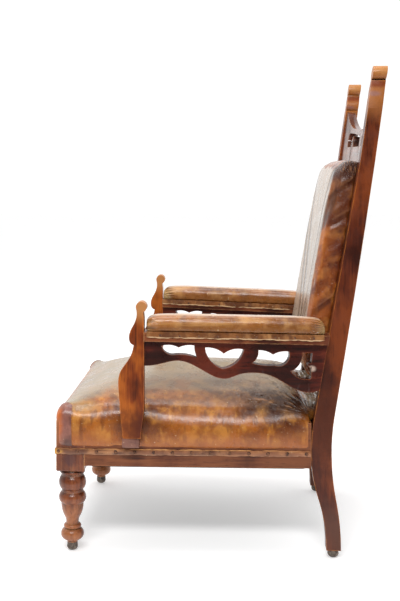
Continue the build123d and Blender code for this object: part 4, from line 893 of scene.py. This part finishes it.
# Arm supports
# A flat sawn board with a knob, a shoulder and a belly stands on each block, screwed to the rail.
# It is orange-brown, palest on its knob and dark at its foot.
dark_foot = ((0.30, -0.20, 0.325), (0.08, 0.06, 0.060), "4e1e0c", 0.9)
support_wood = wood_finish("support_wood", Z_AXIS, "431908", "7c3510", "b4601f", "cc7a36", seed=2.0,
                           tip=(0.565, 0.61, "b9814f"), varied=0.85, shades=[dark_foot])
dress(support_wood, "left_arm_support", "right_arm_support")
dress(screw_steel, "arm_support_screws", easing=0)

# Arm panels
# A board under each arm rest, pierced with a heart between leaves and let in at both ends.
# Its polish is nearly black, but for a raw pale patch in its rear opening.
raw_patch = ((0.278, 0.222, 0.463), (0.02, 0.012, 0.009), "c8b0a0", 0.8)
panel_wood = wood_finish("panel_wood", Y_AXIS, "260c06", "4a180e", "6a2c1a", "a05a38", seed=6.0,
                         shine=0.30, shades=[raw_patch])
dress(panel_wood, "left_arm_panel", "right_arm_panel")

# Arm rests
# A flat board from each support to its post, dowelled at both ends, which carries the arm pad.
rest_wood = wood_finish("rest_wood", Y_AXIS, "3a170c", "66321e", "8c5030", "c09060", seed=7.0,
                        shine=0.34, varied=0.7)
dress(rest_wood, "left_arm_rest", "right_arm_rest")

# Back pad
# Horsehair on webbing under one piece of leather, tight between the posts and full at the top.
# It stands proud of the posts' faces, with a sharp roll at each side and gathers at the corners.
back_lean = 0.117
back_rise = 0.665
back_run = math.hypot(back_lean, back_rise)
back_up = np.array([0, back_lean / back_run, back_rise / back_run])
back_out = np.array([0, -back_rise / back_run, back_lean / back_run])
back_root = np.array([0, 0.241455, 0.412])
pad_half = 0.2280
pad_foot = 0.0166
pad_rise = 0.5440
pad_side = 0.0545
pad_crown = 0.0550
roll_width = 0.018
roll_depth = 0.016
rear_gap = 0.0013
rear_bow = 0.020
pad_heights = [0, 0.03, 0.10, 0.36, 0.64, 0.80, 0.90, 0.95, 0.985, 1.0]
pad_sides = [0.50, 0.78, 0.96, 1.0, 0.98, 0.93, 0.85, 0.77, 0.62, 0.42]
pad_crowns = [0.48, 0.66, 0.76, 0.79, 0.87, 0.93, 0.94, 0.90, 0.76, 0.55]
ridge_depth = 0.0036
side_ridges = [(0.520, 0.9, 0.008), (0.452, 0.9, 0.010), (0.398, 0.7, 0.008), (0.345, 1.1, 0.011),
               (0.312, 0.9, 0.007), (0.242, 1.2, 0.010), (0.170, 0.8, 0.009)]
side_creases = [(0.516, 0.9, 0.009, 0.8), (0.432, 0.8, 0.010, 0.8), (0.385, 0.5, 0.009, 0.5),
                (0.330, 0.2, 0.010, 0.35), (0.222, 1.0, 0.009, 0.9), (0.150, 0.7, 0.010, 0.5)]
front_creases = [(0.012, -2.4), (-0.050, -1.8)]


def on_back(x, up, proud):
    """A point by its place across and up the leaning back, and how far it stands proud."""
    return (np.outer(x, [1, 0, 0]) + back_root + np.outer(up, back_up)
            + np.outer(proud, back_out))


def back_place(u, v, w):
    """A point of the back pad."""
    up_share = (spread(v) + 1) / 2
    x = spread(u) * pad_half
    side = pad_side * np.interp(up_share, pad_heights, pad_sides)
    crown = pad_crown * np.interp(up_share, pad_heights, pad_crowns)
    bow = 1 - (x / 0.2287) ** 2
    edge = np.clip(1 - (pad_half - np.abs(x)) / roll_width, 0, 1)
    front = side + (crown - side) * bow - roll_depth * (1 - np.sqrt(1 - edge ** 2))
    back = -rear_gap - rear_bow * bow
    proud = back + (w + 1) / 2 * (front - back)
    return on_back(x, pad_foot + up_share * pad_rise, proud)


def back_limit(before, after):
    """Ridge the pad's sides, and hold it between the posts, off the rails and off the hessian."""
    shift = after - back_root
    proud = shift @ back_out
    up = shift @ back_up
    start = (before - back_root) @ back_out
    loose = np.clip(proud / 0.03, 0, 1) * 0.0045
    ridges = np.zeros(len(up))
    for height, fall, width in side_ridges:
        ridges += ridge_depth * np.exp(-((up + fall * proud - height - 0.01) / width) ** 2)
    side_wall = np.clip((np.abs(before[:, 0]) - 0.2255) / 0.002, 0, 1) * np.clip(proud / 0.02, 0, 1)
    after[:, 0] += np.sign(after[:, 0]) * (ridges - 0.0012) * side_wall
    after[:, 0] = np.clip(after[:, 0], -0.2284 - loose, 0.2284 + loose)
    sunk = np.where(start < 0.0, np.maximum(start - proud, 0), 0)
    rise = np.clip(up, 0.0163, 0.5610) - up
    return after + np.outer(sunk, back_out) + np.outer(rise, back_up)


def back_folds(tree):
    """Creases that run down and forwards from the posts, and gathers at the top corners."""
    up = measure(tree, back_up, back_root)
    proud = measure(tree, back_out, back_root)
    across = measure(tree, (1, 0, 0))
    stray = times(tree, cloudy(tree, 22.0, (1, 1, 1), 3.0, 33.0), 0.020)
    total = None
    for height, fall, width, deep in side_creases:
        line = plus(tree, up, times(tree, proud, fall), stray)
        line = calc(tree, "DIVIDE", calc(tree, "SUBTRACT", line, height + 0.010), width)
        fall_off = calc(tree, "EXPONENT", times(tree, line, line, -0.6))
        crease = times(tree, line, fall_off, deep * 1.3)
        total = crease if total is None else plus(tree, total, crease)
    beside = times(tree, fade(tree, across, 0.205, 0.222), fade(tree, proud, 0.055, 0.030))
    total = times(tree, total, beside)
    slant = plus(tree, calc(tree, "SUBTRACT", across, times(tree, up, 0.40)), stray)
    for shift, deep in front_creases:
        line = calc(tree, "DIVIDE", plus(tree, slant, shift), 0.015)
        crease = times(tree, calc(tree, "EXPONENT", times(tree, line, line, -1.0)),
                       fade(tree, proud, 0.032, 0.044, 0.0, deep))
        total = plus(tree, total, crease)
    straws = cloudy(tree, 120.0, (0.5, 2.0, 0.4), 3.0, 39.0, 0.6)
    gathers = fade(tree, straws, 0.36, 0.64, -1.0, 1.0)
    corner = times(tree, fade(tree, up, 0.505, 0.545), fade(tree, across, 0.150, 0.215))
    return plus(tree, total, times(tree, gathers, corner))


dark_top = ((0.23, 0.30, 0.96), (0.07, 0.14, 0.09), "2e130b", 0.92)
dark_side = ((0.23, 0.29, 0.86), (0.03, 0.08, 0.11), "441c10", 0.75)
# The pad's front face is painted pale: a painted reflection of the bright surroundings.
back_leather = leather_finish(
    "back_leather", "5a2614", "9c521c", "c07832", stretch=(1, 1, 0.3), seed=11.0, shine=0.27,
    painted_reflection_faces=[(Y_AXIS, -1, "bcac9a", 0.78)], folds=back_folds, streaky=0.4, wear=0.2,
    shades=[dark_top, dark_side])
back_cushion = soft_block("back_leather_pad", 60, back_place)
stuff(back_cushion, 0.0065, 0.006, back_limit)
finish_mesh(back_cushion, 60)
cover_with(back_cushion, back_leather)
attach(back_cushion, "root")
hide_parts("back_pad")

# Arm pads
# A roll of stuffing on each arm rest under thin leather, gathered at both ends.
# The leather's hem comes down over the board's sides and is nailed there.
arm_start = (0.30396, -0.18125, 0.531)
arm_depth = 0.442125
arm_splay = 0.04196
arm_length_flat = math.hypot(arm_depth, arm_splay)
arm_slope = 0.009 / arm_length_flat
pad_rest = 0.0223
pad_length = 0.4314
roll_half = 0.0290
roll_middle = 0.0165
roll_top = 0.0235
end_steps = [0, 0.01, 0.03, 0.07, 0.93, 0.97, 0.99, 1]
end_widths = [0.80, 0.94, 0.99, 1, 1, 0.99, 0.94, 0.80]
end_heights = [0.62, 0.80, 0.94, 1, 1, 0.94, 0.80, 0.62]


def on_arm(side, along, across, height):
    """A point on the left (1) or right (-1) arm, from the support and above the rest's underside."""
    out = np.array([arm_depth, arm_splay]) / arm_length_flat
    x = arm_start[0] - along * arm_splay / arm_length_flat + across * out[0]
    y = arm_start[1] + along * arm_depth / arm_length_flat + across * out[1]
    return np.stack([side * x, y, arm_start[2] - along * arm_slope + height], axis=1)


def arm_place(side):
    """The shape of one arm pad, as a function of its block's points."""
    def place(u, v, w):
        share = (spread(v) + 1) / 2
        width = np.interp(share, end_steps, end_widths)
        height = np.interp(share, end_steps, end_heights)
        turn = np.arctan2(w, u)
        rise = np.sin(turn)
        across = np.abs(np.cos(turn)) ** np.where(rise > 0, 0.72, 0.30)
        across = roll_half * width * np.sign(np.cos(turn)) * across
        lift = np.where(rise > 0, roll_middle + roll_top * rise ** 0.85,
                        roll_middle * (1 - np.abs(rise) ** 0.45))
        inner = np.maximum(np.abs(u), np.abs(w))
        up = pad_rest + 0.0002 + roll_middle * height + (lift - roll_middle) * height * inner
        return on_arm(side, 0.0045 + share * (pad_length - 0.001), across * inner, up)
    return place


def arm_folds(tree):
    """Pleats at both ends of an arm pad, where its leather is gathered in."""
    height = along_axis(tree, Z_AXIS)
    width = measure(tree, (1, 0, 0))
    turn = calc(tree, "ARCTAN2", calc(tree, "SUBTRACT", height, 0.560),
                calc(tree, "SUBTRACT", width, 0.283))
    stray = times(tree, cloudy(tree, 30.0, (1, 1, 1), 3.0, 35.0), 7.0)
    wave = calc(tree, "SINE", plus(tree, times(tree, turn, 17.0), stray))
    place = along_axis(tree, Y_AXIS)
    ends = calc(tree, "MAXIMUM", fade(tree, place, -0.140, -0.165), fade(tree, place, 0.215, 0.238))
    puckers = calc(tree, "SINE", plus(tree, times(tree, place, 210.0), times(tree, stray, 2.6)))
    puckers = times(tree, puckers, fade(tree, height, 0.564, 0.552, 0.0, 0.4))
    return plus(tree, times(tree, wave, ends), puckers)


straw_front = ((0.29, -0.172, 0.556), (0.05, 0.020, 0.04), "c8a468", 0.85)
straw_rear = ((0.26, 0.252, 0.548), (0.05, 0.024, 0.04), "c8a468", 0.85)
# The pad's top is painted pale as a painted highlight, and its lower half darker as painted shade.
arm_leather = leather_finish(
    "arm_leather", "643412", "a0622a", "c89458", stretch=(1, 0.10, 1), seed=21.0, shine=0.30,
    folds=arm_folds, streaky=0.7, low=(0.582, 0.556, "84501f"), painted_reflection_faces=[(Z_AXIS, 1, "ccae94", 0.80)],
    shades=[straw_front, straw_rear])
for side, word in both_sides:
    roll = soft_block(word + "_arm_roll", 26, arm_place(side))
    stuff(roll, 0.004, 0.0025)
    finish_mesh(roll, 60)
    cover_with(roll, arm_leather)
    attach(roll, "root")
    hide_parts(word + "_arm_pad")

# Arm hems and their nails
# The lower edge of each arm's leather, gathered over both sides of the board and nailed.
hem_middle = 0.0172
hem_half = 0.0074
hem_length = 0.4270
hem_lift = 0.0022
hem_rest = 0.0004
board_half = 0.0271
hem_nail_pitch = 0.046


def hem_place(side, face):
    """One hem: a thin strip with a ragged lower edge, drawn in at each nail."""
    def place(u, v, w):
        along = 0.0042 + (v + 1) / 2 * hem_length
        pucker = np.clip(np.mod(along - 0.0331, hem_nail_pitch) / 0.01, 0, 1)
        gather = 0.0005 * np.sin(along * 420) + 0.0005 * np.sin(along * 173 + face)
        lift = hem_lift + gather * 0.6 + 0.0006 * pucker - 0.0008 * np.maximum(w, 0)
        out = np.where(u > 0, lift, hem_rest)
        ragged = 0.0009 * np.sin(along * 88 + face) + 0.0006 * np.sin(along * 311)
        height = hem_middle + w * hem_half + np.where(w < 0, -w * ragged, 0)
        return on_arm(side, along, face * (board_half + out), height)
    return place


hem_leather = leather_finish(
    "hem_leather", "5c3216", "8c562a", "b27e4a", stretch=(1, 0.6, 0.5), seed=71.0, shine=0.36,
    wear=0.6, streaky=0.8, frayed=((0, -0.181, 0.5418), (0, 0.0204, 1), 0.0021, "d8b48a"))
for side, word in both_sides:
    for face, ending in ((1, "_arm_hem"), (-1, "_arm_hem_inside")):
        hem = long_strip(word + ending, 110, hem_place(side, face))
        cover_with(hem, hem_leather)
        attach(hem, "root")
dress(nail_iron, "arm_pad_nails", easing=0)

# Outside back
# One piece of leather drawn over the back of the frame.
# It is nailed with small iron nails to the crest rail and to the lower back rail.
cover_half = 0.2285
cover_foot = 0.0116
cover_rise = 0.5697
cover_edge = 0.0300
cover_bow = 0.0200
cover_pull = 0.0016
cover_thickness = 0.0021


def cover_place(u, v, w):
    """The leather sheet of the outside back."""
    up = cover_foot + (v + 1) / 2 * cover_rise
    x = u * cover_half
    bow = 1 - (x / 0.229) ** 2
    tight = (1 - u ** 2) * (1 - v ** 2)
    deep = cover_edge + cover_bow * bow - cover_pull * tight + np.where(w > 0, cover_thickness, 0.0)
    return on_back(x, up, -deep)


cover_leather = leather_finish("cover_leather", "5c3018", "87502a", "a06a3c", seed=13.0, shine=0.36,
                               streaky=0.2, wear=0.3, coat=0.2)
cover = soft_block("outside_back_leather", 40, cover_place)
finish_mesh(cover, 60)
cover_with(cover, cover_leather)
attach(cover, "root")
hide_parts("outside_back_cover")
dress(nail_iron, "back_cover_nails", easing=0)

# Bottom cloth
# Black cloth is tacked under the seat rails to keep the dust in, and sags a little.
# It is notched round the front legs and the posts.
cloth_front = -0.3898
cloth_depth = 0.6406
cloth_margin = 0.0105
cloth_height = 0.21465
cloth_sag = 0.0045
cloth_thickness = 0.0010
half_by_legs = 0.2262
half_by_posts = 0.2285


def cloth_place(u, v, w):
    """The dust cloth under the seat rails."""
    y = cloth_front + (v + 1) / 2 * cloth_depth
    half = rail_x(y) - cloth_margin
    near_leg = np.clip((-0.326 - y) / 0.004, 0, 1)
    near_post = np.clip((y - 0.2165) / 0.004, 0, 1) * (half > half_by_posts)
    half = half + (half_by_legs - half) * near_leg + (half_by_posts - half) * near_post
    sag = cloth_sag * (1 - u ** 2) * (1 - v ** 2)
    z = cloth_height - sag + np.where(w > 0, 0.0, -cloth_thickness)
    return np.stack([u * half, y, z], axis=1)


black_cloth = woven_finish("black_cloth", "14120f", "3a352f", 0.0010, 91.0)
dust_cloth = soft_block("dust_cloth", 40, cloth_place)
finish_mesh(dust_cloth, 60)
cover_with(dust_cloth, black_cloth)
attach(dust_cloth, "root")
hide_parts("bottom_cloth")

# Glides
# Iron domes on a stem, driven into the end of each foot and grey with dust.
glide_iron = metal_finish("glide_iron", "4a403a", "84786c", 0.55, 0.4, 83.0)
dress(glide_iron, "front_left_glide", "front_right_glide", "back_left_glide", "back_right_glide",
      easing=0)
